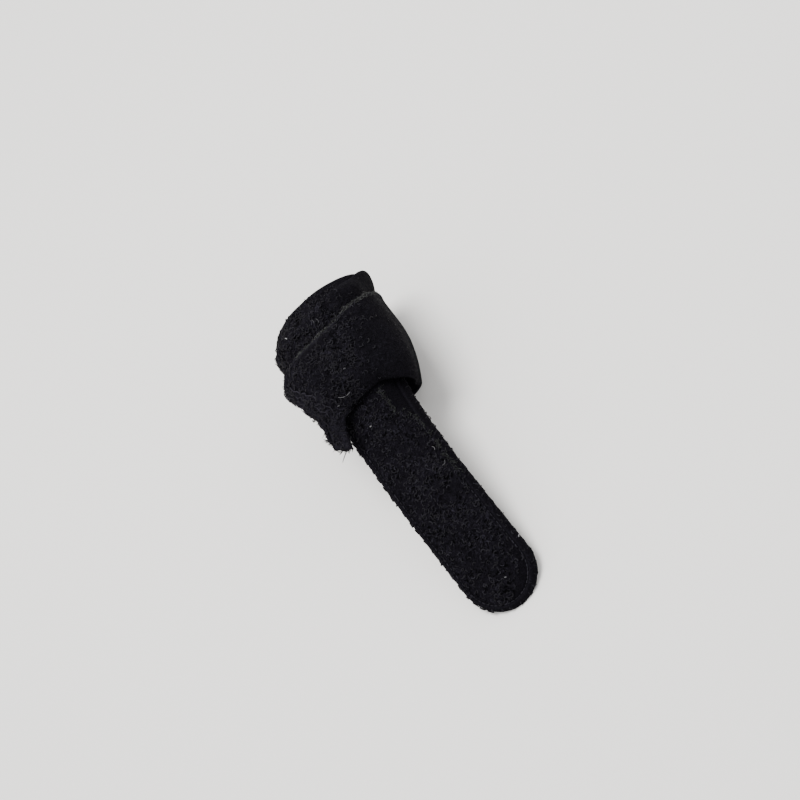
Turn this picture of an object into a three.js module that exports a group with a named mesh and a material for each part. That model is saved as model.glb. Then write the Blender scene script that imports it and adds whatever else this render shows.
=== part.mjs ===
// Finger splint: a padded tongue with a loop-fabric strap wound round it and the finger.
// Millimetres. The part is shaped in its worn frame, where x runs along the finger from the fingertip side
// to the palm side, y is across and z points away from the palm side of the finger. It is then laid on the
// floor.
import * as THREE from "three";

// Finger hollow
const HOLLOW_HALF_WIDTH = 10.2;
const HOLLOW_HALF_HEIGHT = 9.2;

// Tongue
const TONGUE_HEAD_WIDTH = 18.4;
const TONGUE_WIDTH = 19.0;
const TONGUE_START = 4.6;
const TONGUE_END = 90.6;
const TONGUE_THICKNESS = 3.6;
const TONGUE_HEAD_CORNER = 3.0;
const TONGUE_ROUND_LENGTH = 9.8;
const TONGUE_BOW = 0.8;
const TONGUE_HEAD_SLOPE = 2.6;

// Where the tongue leaves the strap. From there on it bows and lies a little to one side, and its right edge
// is curled down towards the finger for a stretch.
const TONGUE_MOUTH = 30;
const TONGUE_SIDE_SHIFT = -0.9;
const TONGUE_SHIFT_START = 22;
const TONGUE_SHIFT_LENGTH = 14;
const TONGUE_TIP_SHIFT = 0.8;
const TONGUE_TIP_SHIFT_START = 48;
const TONGUE_CURL = 3.0;
const TONGUE_CURL_ACROSS = 4.2;
const TONGUE_CURL_RIM = 1.2;
const TONGUE_CURL_LEAD = 10;
const TONGUE_CURL_LENGTH = 16;

// Strap
const STRAP_WIDTH = 21.0;
const STRAP_THICKNESS = 1.3;
const TURN_GAP = 0.28;
const STRAP_START_ANGLE = 0;
const STRAP_END_ANGLE = 856;
const END_CUT_SPAN = 110;
const DISTAL_FLARE = 2.6;
const DISTAL_FLARE_LENGTH = 8;
const DROOP_FROM = 0.35;
const TUCK_LENGTH = 5;
const SUPPORT_RAMP = 0.6;
const STATIONS_PER_TURN = 72;
const EDGE_BRIDGE_RADIUS = 4.0;
const EDGE_BRIDGE_ACROSS = 6.7;

// Hook tab under the strap's end
const TAB_THICKNESS = 0.9;
const TAB_START_ANGLE = 812;
const TAB_CLEARANCE = 0.4;

// Clearance between separate pieces
const PIECE_GAP = 0.3;

// Rest on the floor: how far the cloth is pressed in where it meets it
const FLOOR_PRESS = 0.7;

// Each row is a place along the winding. angle: degrees round the finger from the right side over the top.
// distal and proximal: where the two edges of the strap lie along the finger, as shares of the strap's width.
// lift: the share of the hook tab's room by which the strap stands off the layer below, on top of the plain
// gap. droop: how far the proximal edge is drawn in, as a share of the strap's width. tuck: how much further
// the last stretch before that edge is bent in, as a share of the width.
const WINDING = [
  { angle: 0, distal: -0.01, proximal: 1, lift: 0, droop: 0.062, tuck: 0 },
  { angle: 45, distal: -0.012, proximal: 1.01, lift: 0, droop: 0.029, tuck: 0 },
  { angle: 75, distal: -0.031, proximal: 1.019, lift: 0, droop: 0.019, tuck: 0 },
  { angle: 105, distal: -0.021, proximal: 1.029, lift: 0, droop: 0.014, tuck: 0 },
  { angle: 135, distal: 0.033, proximal: 1.038, lift: 0, droop: 0.019, tuck: 0 },
  { angle: 180, distal: 0.043, proximal: 1.052, lift: 0, droop: 0.029, tuck: 0 },
  { angle: 270, distal: 0.048, proximal: 1.071, lift: 0, droop: 0.029, tuck: 0 },
  { angle: 330, distal: 0, proximal: 1.086, lift: 0, droop: 0.067, tuck: 0 },
  { angle: 360, distal: -0.029, proximal: 1.1, lift: 0, droop: 0.086, tuck: 0 },
  { angle: 380, distal: 0.01, proximal: 1.124, lift: 0, droop: 0.067, tuck: 0 },
  { angle: 405, distal: 0.11, proximal: 1.157, lift: 0, droop: 0.048, tuck: 0 },
  { angle: 450, distal: 0.21, proximal: 1.224, lift: 0, droop: 0.033, tuck: 0 },
  { angle: 510, distal: 0.324, proximal: 1.324, lift: 0, droop: 0.033, tuck: 0 },
  { angle: 540, distal: 0.352, proximal: 1.348, lift: 0, droop: 0.038, tuck: 0 },
  { angle: 630, distal: 0.333, proximal: 1.376, lift: 0, droop: 0.076, tuck: 0 },
  { angle: 720, distal: 0.295, proximal: 1.448, lift: 0, droop: 0.238, tuck: 0 },
  { angle: 750, distal: 0.343, proximal: 1.486, lift: 0, droop: 0.171, tuck: 0.01 },
  { angle: 765, distal: 0.39, proximal: 1.486, lift: 0, droop: 0.133, tuck: 0.043 },
  { angle: 780, distal: 0.448, proximal: 1.419, lift: 0.219, droop: 0.105, tuck: 0.086 },
  { angle: 795, distal: 0.486, proximal: 1.333, lift: 0.562, droop: 0.086, tuck: 0.133 },
  { angle: 812, distal: 0.502, proximal: 1.333, lift: 0.938, droop: 0.057, tuck: 0.171 },
  { angle: 828, distal: 0.51, proximal: 1.343, lift: 0.975, droop: 0.043, tuck: 0.186 },
  { angle: 841, distal: 0.519, proximal: 1.376, lift: 0.975, droop: 0.038, tuck: 0.167 },
  { angle: 848, distal: 0.524, proximal: 1.424, lift: 0.975, droop: 0.033, tuck: 0.124 },
  { angle: 852, distal: 0.529, proximal: 1.495, lift: 0.975, droop: 0.033, tuck: 0.086 },
  { angle: 856, distal: 0.533, proximal: 1.781, lift: 0.975, droop: 0.033, tuck: 0.048 },
];

// The strap's end is cut off unevenly. back: how many degrees the cut lies behind the end, at a share along
// the strap's width.
const END_CUT = [
  { along: 0, back: 15 },
  { along: 0.17, back: 1.5 },
  { along: 0.3, back: 4.5 },
  { along: 0.4, back: 7.5 },
  { along: 0.5, back: 8.5 },
  { along: 0.6, back: 10 },
  { along: 0.7, back: 9.5 },
  { along: 0.8, back: 9 },
  { along: 0.9, back: 7.5 },
  { along: 1, back: 14 },
];

// Section of the strap: along is the share of its width, out the share of its thickness.
const STRAP_SECTION = [
  { along: 0.0, out: 0.32 },
  { along: 0.0, out: 0.72 },
  { along: 0.025, out: 0.97 },
  { along: 0.1, out: 1.0 },
  { along: 0.17, out: 1.0 },
  { along: 0.3, out: 1.0 },
  { along: 0.5, out: 1.0 },
  { along: 0.7, out: 1.0 },
  { along: 0.83, out: 1.0 },
  { along: 0.92, out: 1.0 },
  { along: 0.975, out: 0.97 },
  { along: 1.0, out: 0.72 },
  { along: 1.0, out: 0.32 },
  { along: 0.975, out: 0.03 },
  { along: 0.92, out: 0.0 },
  { along: 0.83, out: 0.0 },
  { along: 0.7, out: 0.0 },
  { along: 0.5, out: 0.0 },
  { along: 0.3, out: 0.0 },
  { along: 0.17, out: 0.0 },
  { along: 0.1, out: 0.0 },
  { along: 0.025, out: 0.03 },
];

// Section of the tab: along is the share of the strap's width, out the share of the tab's thickness.
const TAB_SECTION = [
  { along: 0.1, out: 0.2 },
  { along: 0.1, out: 0.8 },
  { along: 0.17, out: 1.0 },
  { along: 0.3, out: 1.0 },
  { along: 0.5, out: 1.0 },
  { along: 0.7, out: 0.8 },
  { along: 0.7, out: 0.2 },
  { along: 0.5, out: 0.0 },
  { along: 0.3, out: 0.0 },
  { along: 0.17, out: 0.0 },
];

// Half section of the tongue from its edge inwards. inset: distance in from the outline, as a share of half
// the width. half: share of half the thickness. The dip is the sewn seam.
const TONGUE_SECTION = [
  { inset: 0.0, half: 0.0 },
  { inset: 0.015, half: 0.34 },
  { inset: 0.053, half: 0.56 },
  { inset: 0.128, half: 0.66 },
  { inset: 0.186, half: 0.56 },
  { inset: 0.245, half: 0.68 },
  { inset: 0.362, half: 0.86 },
  { inset: 0.574, half: 0.97 },
  { inset: 0.894, half: 1.0 },
];

const rad = (degrees) => (degrees * Math.PI) / 180;
const mix = (a, b, share) => a + (b - a) * share;
const clamp01 = (value) => Math.min(1, Math.max(0, value));
const ease = (value) => clamp01(value) ** 2 * (3 - 2 * clamp01(value));

// A value of the winding table at an angle, eased between its rows.
function windingAt(angle, column) {
  let row = 0;
  while (row < WINDING.length - 2 && WINDING[row + 1].angle < angle) row += 1;
  const a = WINDING[row];
  const b = WINDING[row + 1];
  const before = WINDING[Math.max(0, row - 1)];
  const after = WINDING[Math.min(WINDING.length - 1, row + 2)];
  const span = b.angle - a.angle;
  const share = clamp01((angle - a.angle) / span);
  const slopeA = ((b[column] - before[column]) / (b.angle - before.angle)) * span;
  const slopeB = ((after[column] - a[column]) / (after.angle - a.angle)) * span;
  const s2 = share * share;
  const s3 = s2 * share;
  return (
    (2 * s3 - 3 * s2 + 1) * a[column] +
    (s3 - 2 * s2 + share) * slopeA +
    (3 * s2 - 2 * s3) * b[column] +
    (s3 - s2) * slopeB
  );
}

// Height of the tongue's middle plane along its length.
const tongueMiddle = HOLLOW_HALF_HEIGHT + TONGUE_THICKNESS / 2;
function tongueHeight(x) {
  const along = clamp01((x - TONGUE_MOUTH) / (TONGUE_END - TONGUE_MOUTH));
  return tongueMiddle + TONGUE_BOW * Math.sin(Math.PI * along);
}

// The tongue is a little narrower at its head than at its round end.
function tongueTaper(x) {
  const share = clamp01((x - TONGUE_START) / (TONGUE_END - TONGUE_ROUND_LENGTH - TONGUE_START));
  return mix(TONGUE_HEAD_WIDTH / TONGUE_WIDTH, 1, share);
}

// Past the strap the tongue bends a little to one side.
function tongueShift(x) {
  const away = TONGUE_SIDE_SHIFT * ease((x - TONGUE_SHIFT_START) / TONGUE_SHIFT_LENGTH);
  const along = (x - TONGUE_TIP_SHIFT_START) / (TONGUE_END - TONGUE_TIP_SHIFT_START);
  return away + TONGUE_TIP_SHIFT * ease(along);
}

// How far the right edge is curled down. The fold starts some way in and runs out to the edge.
function tongueCurl(x, y) {
  const past = (x - TONGUE_MOUTH) / TONGUE_CURL_LENGTH;
  const rise = ease((x - TONGUE_MOUTH + TONGUE_CURL_LEAD) / TONGUE_CURL_LEAD);
  const half = TONGUE_WIDTH / 2;
  const fold = mix(TONGUE_CURL_ACROSS, half - TONGUE_CURL_RIM, clamp01(past));
  return TONGUE_CURL * rise * (1 - ease(past)) * ease((y - fold) / (half - fold));
}

// Distance from the finger's centre to the strap's first layer, at an angle round it. The first layer goes
// round the finger's oval and, by the share of tongue, round the tongue's two edges as well. Cloth bridges
// those edges in a curve of its own radius.
function reachOfSupport(angle, share) {
  const top = tongueMiddle + TONGUE_THICKNESS / 2 + PIECE_GAP;
  const centreZ = top - EDGE_BRIDGE_RADIUS;
  let reach = Infinity;
  for (let step = -81; step <= 81; step += 1.5) {
    const normal = rad(angle + step);
    const cos = Math.cos(normal);
    const sin = Math.sin(normal);
    const oval = Math.hypot(HOLLOW_HALF_WIDTH * cos, HOLLOW_HALF_HEIGHT * sin);
    const right = EDGE_BRIDGE_ACROSS * cos + centreZ * sin + EDGE_BRIDGE_RADIUS;
    const left = -EDGE_BRIDGE_ACROSS * cos + centreZ * sin + EDGE_BRIDGE_RADIUS;
    const support = mix(oval, Math.max(right, left, oval), share);
    reach = Math.min(reach, support / Math.cos(rad(step)));
  }
  return reach;
}

// The same distance from a table made once, for two shares of the tongue.
const TABLE_STEP = 3;
const ROUND_REACH = [];
const PLATE_REACH = [];
for (let angle = 0; angle < 360; angle += TABLE_STEP) {
  ROUND_REACH.push(reachOfSupport(angle, 0.35));
  PLATE_REACH.push(reachOfSupport(angle, 1));
}
function fromTable(table, angle) {
  const place = (((angle % 360) + 360) % 360) / TABLE_STEP;
  const low = Math.floor(place);
  const a = table[low % table.length];
  const b = table[(low + 1) % table.length];
  return mix(a, b, place - low);
}
function baseReach(angle, x) {
  const share = ease(x / (TONGUE_START + SUPPORT_RAMP));
  const toRight = Math.max(0, Math.cos(rad(angle))) ** 1.5;
  const flare = DISTAL_FLARE * toRight * (1 - ease(x / DISTAL_FLARE_LENGTH));
  return mix(fromTable(ROUND_REACH, angle), fromTable(PLATE_REACH, angle), share) + flare;
}

// A point of the winding: angle round the finger, place along it, and distance out from the first layer.
function windingPoint(angle, x, out) {
  const turn = 1.5;
  const reach = baseReach(angle, x);
  const slope = (baseReach(angle + turn, x) - baseReach(angle - turn, x)) / rad(2 * turn);
  const cos = Math.cos(rad(angle));
  const sin = Math.sin(rad(angle));
  const normalY = reach * cos + slope * sin;
  const normalZ = reach * sin - slope * cos;
  const size = Math.hypot(normalY, normalZ);
  const y = reach * cos + (normalY / size) * out;
  const z = reach * sin + (normalZ / size) * out;
  return new THREE.Vector3(x, y, z);
}

// How far out the strap's inner face lies at an angle: one layer and gap more for each turn, and the hook
// tab's room under the end.
const tabRoom = TAB_THICKNESS + TAB_CLEARANCE + PIECE_GAP;
function layerOut(angle) {
  const turns = (angle - STRAP_START_ANGLE) / 360;
  return turns * (STRAP_THICKNESS + TURN_GAP) + windingAt(angle, "lift") * tabRoom;
}

// The inward draw of the strap's unsupported proximal edge at a share of its width.
function drawIn(angle, along) {
  const share = clamp01((along - DROOP_FROM) / (1 - DROOP_FROM));
  const width = (windingAt(angle, "proximal") - windingAt(angle, "distal")) * STRAP_WIDTH;
  const bent = clamp01(1 - ((1 - along) * width) / TUCK_LENGTH);
  return (windingAt(angle, "droop") * share * share + windingAt(angle, "tuck") * bent * bent) * STRAP_WIDTH;
}

// The angle moved back to the uneven cut, by a share that grows towards the end.
function cutBack(angle, along) {
  let row = 0;
  while (row < END_CUT.length - 2 && END_CUT[row + 1].along < along) row += 1;
  const a = END_CUT[row];
  const b = END_CUT[row + 1];
  const back = mix(a.back, b.back, clamp01((along - a.along) / (b.along - a.along)));
  return angle - back * ease((angle - STRAP_END_ANGLE + END_CUT_SPAN) / END_CUT_SPAN);
}

// A closed skin over rings of equal point counts, with a flat fan at each end. Each four-sided patch is
// split across its shorter diagonal, so two skins that run side by side bend alike.
function loft(rings) {
  const count = rings[0].length;
  const points = rings.flat();
  const positions = [];
  const faces = [];
  for (const point of points) positions.push(point.x, point.y, point.z);
  for (let ring = 0; ring < rings.length - 1; ring += 1) {
    for (let side = 0; side < count; side += 1) {
      const next = (side + 1) % count;
      const a = ring * count + side;
      const b = ring * count + next;
      const c = (ring + 1) * count + next;
      const d = (ring + 1) * count + side;
      if (points[a].distanceTo(points[c]) < points[b].distanceTo(points[d])) faces.push(a, c, b, a, d, c);
      else faces.push(a, d, b, b, d, c);
    }
  }
  for (const end of [0, rings.length - 1]) {
    const centre = new THREE.Vector3();
    for (const point of rings[end]) centre.addScaledVector(point, 1 / count);
    const middle = positions.length / 3;
    positions.push(centre.x, centre.y, centre.z);
    for (let side = 0; side < count; side += 1) {
      const a = end * count + side;
      const b = end * count + ((side + 1) % count);
      if (end === 0) faces.push(middle, a, b);
      else faces.push(middle, b, a);
    }
  }
  const geometry = new THREE.BufferGeometry();
  geometry.setAttribute("position", new THREE.Float32BufferAttribute(positions, 3));
  geometry.setIndex(faces);
  return geometry;
}

function strapRing(angle) {
  const distal = windingAt(angle, "distal") * STRAP_WIDTH;
  const proximal = windingAt(angle, "proximal") * STRAP_WIDTH;
  const base = layerOut(angle);
  return STRAP_SECTION.map(({ along, out }) => {
    const x = mix(distal, proximal, along);
    const height = base + out * STRAP_THICKNESS - drawIn(angle, along);
    return windingPoint(cutBack(angle, along), x, height);
  });
}

function stationAngles() {
  const turns = (STRAP_END_ANGLE - STRAP_START_ANGLE) / 360;
  const count = Math.round(turns * STATIONS_PER_TURN);
  const angles = [];
  for (let station = 0; station <= count; station += 1) {
    angles.push(mix(STRAP_START_ANGLE, STRAP_END_ANGLE, station / count));
  }
  return angles;
}

function strapGeometry() {
  return loft(stationAngles().map(strapRing));
}

// The tab lies between the strap's end and the turn below it, at the strap's own stations.
function tabRing(angle) {
  const distal = windingAt(angle, "distal") * STRAP_WIDTH;
  const proximal = windingAt(angle, "proximal") * STRAP_WIDTH;
  const top = layerOut(angle) - TAB_CLEARANCE;
  return TAB_SECTION.map(({ along, out }) => {
    const x = mix(distal, proximal, along);
    const height = top - TAB_THICKNESS * (1 - out) - drawIn(angle, along);
    return windingPoint(cutBack(angle, along), x, height);
  });
}

function tabGeometry() {
  const last = STRAP_END_ANGLE - 1;
  const angles = stationAngles().filter((angle) => angle > TAB_START_ANGLE && angle < last);
  return loft(angles.map(tabRing));
}

// The tongue's outline moved in by an inset: straight sides, a full round end and small corners at its head.
// Point number i mirrors point number MIRROR - i across the tongue's middle line.
const SIDE_STEPS = 22;
const ROUND_STEPS = 20;
const CORNER_STEPS = 4;
const MIRROR = 2 * SIDE_STEPS + ROUND_STEPS;
function tongueOutline(inset) {
  const half = TONGUE_WIDTH / 2 - inset;
  const round = TONGUE_ROUND_LENGTH - inset;
  const roundCentre = TONGUE_END - TONGUE_ROUND_LENGTH;
  const corner = Math.min(Math.max(TONGUE_HEAD_CORNER - inset, 0.5), half * 0.9);
  const start = TONGUE_START + Math.min(inset, TONGUE_HEAD_SLOPE);
  const sideStart = start + corner;
  const points = [];
  for (let step = 0; step < SIDE_STEPS; step += 1) {
    points.push([mix(sideStart, roundCentre, step / SIDE_STEPS), -half]);
  }
  for (let step = 0; step < ROUND_STEPS; step += 1) {
    const turn = rad(-90 + (180 * step) / ROUND_STEPS);
    points.push([roundCentre + round * Math.cos(turn), half * Math.sin(turn)]);
  }
  for (let step = 0; step < SIDE_STEPS; step += 1) {
    points.push([mix(roundCentre, sideStart, step / SIDE_STEPS), half]);
  }
  for (let step = 0; step <= CORNER_STEPS; step += 1) {
    const turn = rad(90 + (90 * step) / CORNER_STEPS);
    points.push([sideStart + corner * Math.cos(turn), half - corner + corner * Math.sin(turn)]);
  }
  for (let step = 0; step < CORNER_STEPS; step += 1) {
    const turn = rad(180 + (90 * step) / CORNER_STEPS);
    points.push([sideStart + corner * Math.cos(turn), -half + corner + corner * Math.sin(turn)]);
  }
  return points;
}

// Rings run from the middle of the top face out over the edge to the middle of the lower face.
function tongueGeometry() {
  const rows = [];
  for (const row of [...TONGUE_SECTION].reverse()) rows.push({ ...row, side: 1 });
  for (const row of TONGUE_SECTION.slice(1)) rows.push({ ...row, side: -1 });
  const rings = rows.map(({ inset, half, side }) =>
    tongueOutline((inset * TONGUE_WIDTH) / 2).map(([x, y]) => {
      const z = tongueHeight(x) - tongueCurl(x, y) + (side * half * TONGUE_THICKNESS) / 2;
      return new THREE.Vector3(x, y * tongueTaper(x) + tongueShift(x), z);
    }),
  );
  return skinOfRings(rings);
}

// A closed skin over nested rings. The first and last are long and thin, and each is closed by a strip that
// joins every point to its mirror across the middle line.
function skinOfRings(rings) {
  const count = rings[0].length;
  const positions = [];
  const faces = [];
  for (const ring of rings) {
    for (const point of ring) positions.push(point.x, point.y, point.z);
  }
  for (let ring = 0; ring < rings.length - 1; ring += 1) {
    for (let side = 0; side < count; side += 1) {
      const next = (side + 1) % count;
      const a = ring * count + side;
      const b = ring * count + next;
      const c = (ring + 1) * count + next;
      const d = (ring + 1) * count + side;
      faces.push(a, d, c, a, c, b);
    }
  }
  for (const end of [0, rings.length - 1]) {
    const base = end * count;
    for (let i = -CORNER_STEPS; i < MIRROR / 2; i += 1) {
      const a = base + ((i + count) % count);
      const b = base + ((i + 1 + count) % count);
      const c = base + ((MIRROR - i - 1) % count);
      const d = base + ((MIRROR - i) % count);
      const triangles = [[a, b, c], [a, c, d]].filter((t) => new Set(t).size === 3);
      for (const [p, q, r] of triangles) {
        if (end === 0) faces.push(p, q, r);
        else faces.push(p, r, q);
      }
    }
  }
  const geometry = new THREE.BufferGeometry();
  geometry.setAttribute("position", new THREE.Float32BufferAttribute(positions, 3));
  geometry.setIndex(faces);
  return geometry;
}

// Lays the shaped pieces on the floor. The strap's lower edge and the tongue's tip are the two supports, so
// the tilt is the one at which both are equally low. What lies under the floor is pressed flat.
function lowest(geometries, tilt, keep) {
  let low = Infinity;
  for (const geometry of geometries) {
    const at = geometry.getAttribute("position");
    for (let i = 0; i < at.count; i += 1) {
      if (!keep(at.getX(i))) continue;
      low = Math.min(low, at.getZ(i) * Math.cos(tilt) - at.getX(i) * Math.sin(tilt));
    }
  }
  return low;
}

function restTilt(geometries) {
  let low = rad(5);
  let high = rad(40);
  for (let step = 0; step < 50; step += 1) {
    const tilt = (low + high) / 2;
    const atStrap = lowest(geometries, tilt, (x) => x < 45);
    const atTip = lowest(geometries, tilt, (x) => x >= 45);
    if (atTip > atStrap) low = tilt;
    else high = tilt;
  }
  return (low + high) / 2;
}

function layDown(geometries) {
  const tilt = restTilt(geometries);
  for (const geometry of geometries) geometry.rotateY(tilt);
  const box = new THREE.Box3();
  for (const geometry of geometries) {
    geometry.computeBoundingBox();
    box.union(geometry.boundingBox);
  }
  const centre = box.getCenter(new THREE.Vector3());
  for (const geometry of geometries) {
    geometry.translate(-centre.x, -centre.y, -box.min.z - FLOOR_PRESS);
    const at = geometry.getAttribute("position");
    for (let i = 0; i < at.count; i += 1) at.setZ(i, Math.max(0, at.getZ(i)));
  }
}

function piece(name, geometry, colour) {
  geometry.computeVertexNormals();
  const material = new THREE.MeshStandardMaterial({ color: colour, roughness: 0.95 });
  const mesh = new THREE.Mesh(geometry, material);
  mesh.name = name;
  return mesh;
}

const tongue = tongueGeometry();
const strap = strapGeometry();
const tab = tabGeometry();
layDown([tongue, strap, tab]);

const splint = new THREE.Group();
splint.name = "finger_splint";
splint.add(piece("tongue", tongue, 0x1a1a1e));
splint.add(piece("strap", strap, 0x17171b));
splint.add(piece("hook_tab", tab, 0x101012));

export default splint;
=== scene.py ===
# Finger splint: a padded tongue with a strap of brushed loop cloth wound round its head.
# The shapes are worked out in the worn frame, in millimetres: x runs along the finger from the fingertip side
# to the palm side, y is across and z points away from the palm side of the finger. They are then laid on the
# floor, in metres.
import math
import random

import bpy
import numpy as np
from mathutils import Matrix, Vector, noise
from mathutils.bvhtree import BVHTree


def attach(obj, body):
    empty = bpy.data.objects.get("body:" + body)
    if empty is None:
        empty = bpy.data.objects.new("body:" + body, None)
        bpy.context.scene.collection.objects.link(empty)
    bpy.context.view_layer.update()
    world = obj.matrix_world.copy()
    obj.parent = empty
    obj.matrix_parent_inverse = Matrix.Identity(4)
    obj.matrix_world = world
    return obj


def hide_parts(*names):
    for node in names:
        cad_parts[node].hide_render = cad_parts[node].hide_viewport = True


bl_info = {
    "name": "Finger Splint",
    "version": (1, 0, 0),
    "blender": (4, 5, 0),
    "location": "View3D > Sidebar > Splint",
    "description": "Builds a finger splint: a padded tongue and a wound strap of brushed loop cloth",
    "category": "Object",
}

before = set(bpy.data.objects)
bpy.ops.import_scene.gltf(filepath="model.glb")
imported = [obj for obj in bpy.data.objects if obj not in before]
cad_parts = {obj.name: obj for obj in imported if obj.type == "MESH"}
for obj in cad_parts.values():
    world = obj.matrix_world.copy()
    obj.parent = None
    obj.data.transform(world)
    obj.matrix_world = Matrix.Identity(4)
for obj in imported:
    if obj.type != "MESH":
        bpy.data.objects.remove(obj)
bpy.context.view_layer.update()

MM = 0.001

# Finger hollow
HOLLOW_HALF_WIDTH = 10.2
HOLLOW_HALF_HEIGHT = 9.2

# Tongue
TONGUE_HEAD_WIDTH = 18.4
TONGUE_WIDTH = 19.0
TONGUE_START = 4.6
TONGUE_END = 90.6
TONGUE_THICKNESS = 3.6
TONGUE_MIDDLE = HOLLOW_HALF_HEIGHT + TONGUE_THICKNESS / 2
TONGUE_HEAD_CORNER = 3.0
TONGUE_ROUND_LENGTH = 9.8
TONGUE_BOW = 0.8
TONGUE_HEAD_SLOPE = 2.6
SEAM_INSET = 1.7
SEAM_LEAN = 0.45

# Where the tongue leaves the strap. From there on it bows and lies a little to one side, and its right edge
# is curled down towards the finger for a stretch.
TONGUE_MOUTH = 30
TONGUE_SIDE_SHIFT = -0.9
TONGUE_SHIFT_START = 22
TONGUE_SHIFT_LENGTH = 14
TONGUE_TIP_SHIFT = 0.8
TONGUE_TIP_SHIFT_START = 48
TONGUE_CURL = 3.0
TONGUE_CURL_ACROSS = 4.2
TONGUE_CURL_RIM = 1.2
TONGUE_CURL_LEAD = 10
TONGUE_CURL_LENGTH = 16

# Near the tip the smooth rim of the right side is wider.
TIP_RIM_START = 74
TIP_RIM_WIDTH = 2.2

# The tongue's worn rim wanders: how far, and where its round end begins and is centred
RIM_WANDER = 0.16
RIM_CENTRE = 45
RIM_ROUND_START = 80

# Strap
STRAP_WIDTH = 21.0
STRAP_THICKNESS = 1.3
TURN_GAP = 0.28
STRAP_END_ANGLE = 856
STRAP_MIDDLE = 15
END_CUT_SPAN = 110
DISTAL_FLARE = 2.6
DISTAL_FLARE_LENGTH = 8
DROOP_FROM = 0.35
TUCK_LENGTH = 5
EDGE_PRESS_WIDTH = 2.0
EDGE_PRESS_SHARE = 1.06
SUPPORT_RAMP = 0.6
EDGE_BRIDGE_RADIUS = 4.0
EDGE_BRIDGE_ACROSS = 6.7

# Hook tab under the strap's end
TAB_THICKNESS = 0.9
TAB_START_ANGLE = 812
TAB_CLEARANCE = 0.4

PIECE_GAP = 0.3

# How the worn shape lies on the floor: a tilt about y, then a shift
REST_TILT = 0.3392561
REST_SHIFT = (-43.0100, 0.4228, 19.8407)


def table(columns, *rows):
    """Rows of values, each by the name of its column."""
    return [dict(zip(columns.split(), row)) for row in rows]


# Each row is a place along the winding. angle: degrees round the finger from the right side over the top.
# distal and proximal: where the strap's two edges lie along the finger, as shares of its width. lift: the
# share of the hook tab's room by which it stands off the layer below. droop: how far the proximal edge is
# drawn in, as a share of the width. tuck: how much further the last stretch before that edge is bent in.
WINDING = table(
    "angle distal proximal lift droop tuck",
    (0, -0.01, 1, 0, 0.062, 0),
    (45, -0.012, 1.01, 0, 0.029, 0),
    (75, -0.031, 1.019, 0, 0.019, 0),
    (105, -0.021, 1.029, 0, 0.014, 0),
    (135, 0.033, 1.038, 0, 0.019, 0),
    (180, 0.043, 1.052, 0, 0.029, 0),
    (270, 0.048, 1.071, 0, 0.029, 0),
    (330, 0, 1.086, 0, 0.067, 0),
    (360, -0.029, 1.1, 0, 0.086, 0),
    (380, 0.01, 1.124, 0, 0.067, 0),
    (405, 0.11, 1.157, 0, 0.048, 0),
    (450, 0.21, 1.224, 0, 0.033, 0),
    (510, 0.324, 1.324, 0, 0.033, 0),
    (540, 0.352, 1.348, 0, 0.038, 0),
    (630, 0.333, 1.376, 0, 0.076, 0),
    (720, 0.295, 1.448, 0, 0.238, 0),
    (750, 0.343, 1.486, 0, 0.171, 0.01),
    (765, 0.39, 1.486, 0, 0.133, 0.043),
    (780, 0.448, 1.419, 0.219, 0.105, 0.086),
    (795, 0.486, 1.333, 0.562, 0.086, 0.133),
    (812, 0.502, 1.333, 0.938, 0.057, 0.171),
    (828, 0.51, 1.343, 0.975, 0.043, 0.186),
    (841, 0.519, 1.376, 0.975, 0.038, 0.167),
    (848, 0.524, 1.424, 0.975, 0.033, 0.124),
    (852, 0.529, 1.495, 0.975, 0.033, 0.086),
    (856, 0.533, 1.781, 0.975, 0.033, 0.048),
)

# The uneven cut of the strap's end: back is how many degrees it lies behind the end.
END_CUT = table(
    "along back",
    (0, 15), (0.17, 1.5), (0.3, 4.5), (0.4, 7.5), (0.5, 8.5),
    (0.6, 10), (0.7, 9.5), (0.8, 9), (0.9, 7.5), (1, 14),
)

# Half section of the tongue from its edge inwards: inset is the distance in from the outline, half the share
# of half the thickness.
TONGUE_SECTION = table(
    "inset half",
    (0.0, 0.0), (0.05, 0.2), (0.14, 0.34), (0.3, 0.47), (0.5, 0.56), (0.85, 0.63),
    (1.2, 0.66), (1.75, 0.66), (2.3, 0.7), (3.4, 0.86), (5.4, 0.97), (8.4, 1.0),
)

# The line on the tongue where its pile ends beside the curled edge: beyond it the cloth is smooth.
SMOOTH_FROM = table("x across", (24, 4.8), (31, 4.0), (36, 4.6), (38.6, 6.5), (41, 7.6), (46, 8.0))
SMOOTH_END = 41

# Where pale specks of lint and stray fibres catch the light, as shares of the picture's width and height,
# with their length and thickness in millimetres, their turn in the picture in degrees, how far they bow as a
# share of their length, and their brightness.
LINT = table(
    "across down length thick turn bow tone",
    (0.3588, 0.4238, 0.65, 0.26, -20, 0.1, 0.95),
    (0.4640, 0.5335, 0.5, 0.24, 30, 0.1, 0.6),
    (0.4294, 0.4925, 3.1, 0.13, 21, -0.18, 0.42),
    (0.6335, 0.7240, 0.5, 0.2, 10, 0.1, 0.5),
    (0.6496, 0.6720, 0.9, 0.2, 60, 0.2, 0.8),
    (0.5420, 0.5610, 1.1, 0.16, -50, 0.25, 0.32),
    (0.5545, 0.5790, 1.5, 0.13, 70, -0.3, 0.22),
    (0.3965, 0.4200, 2.2, 0.13, 52, 0.08, 0.26),
    (0.3970, 0.4010, 1.2, 0.12, -48, 0.2, 0.22),
    (0.3915, 0.4025, 1.2, 0.12, -50, 0.2, 0.18),
    (0.4310, 0.4610, 0.6, 0.22, 20, 0.2, 0.2),
    (0.4225, 0.5075, 0.55, 0.22, 20, 0.2, 0.22),
)
LINT_STAND = 0.35
LINT_STEPS = 8

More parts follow.
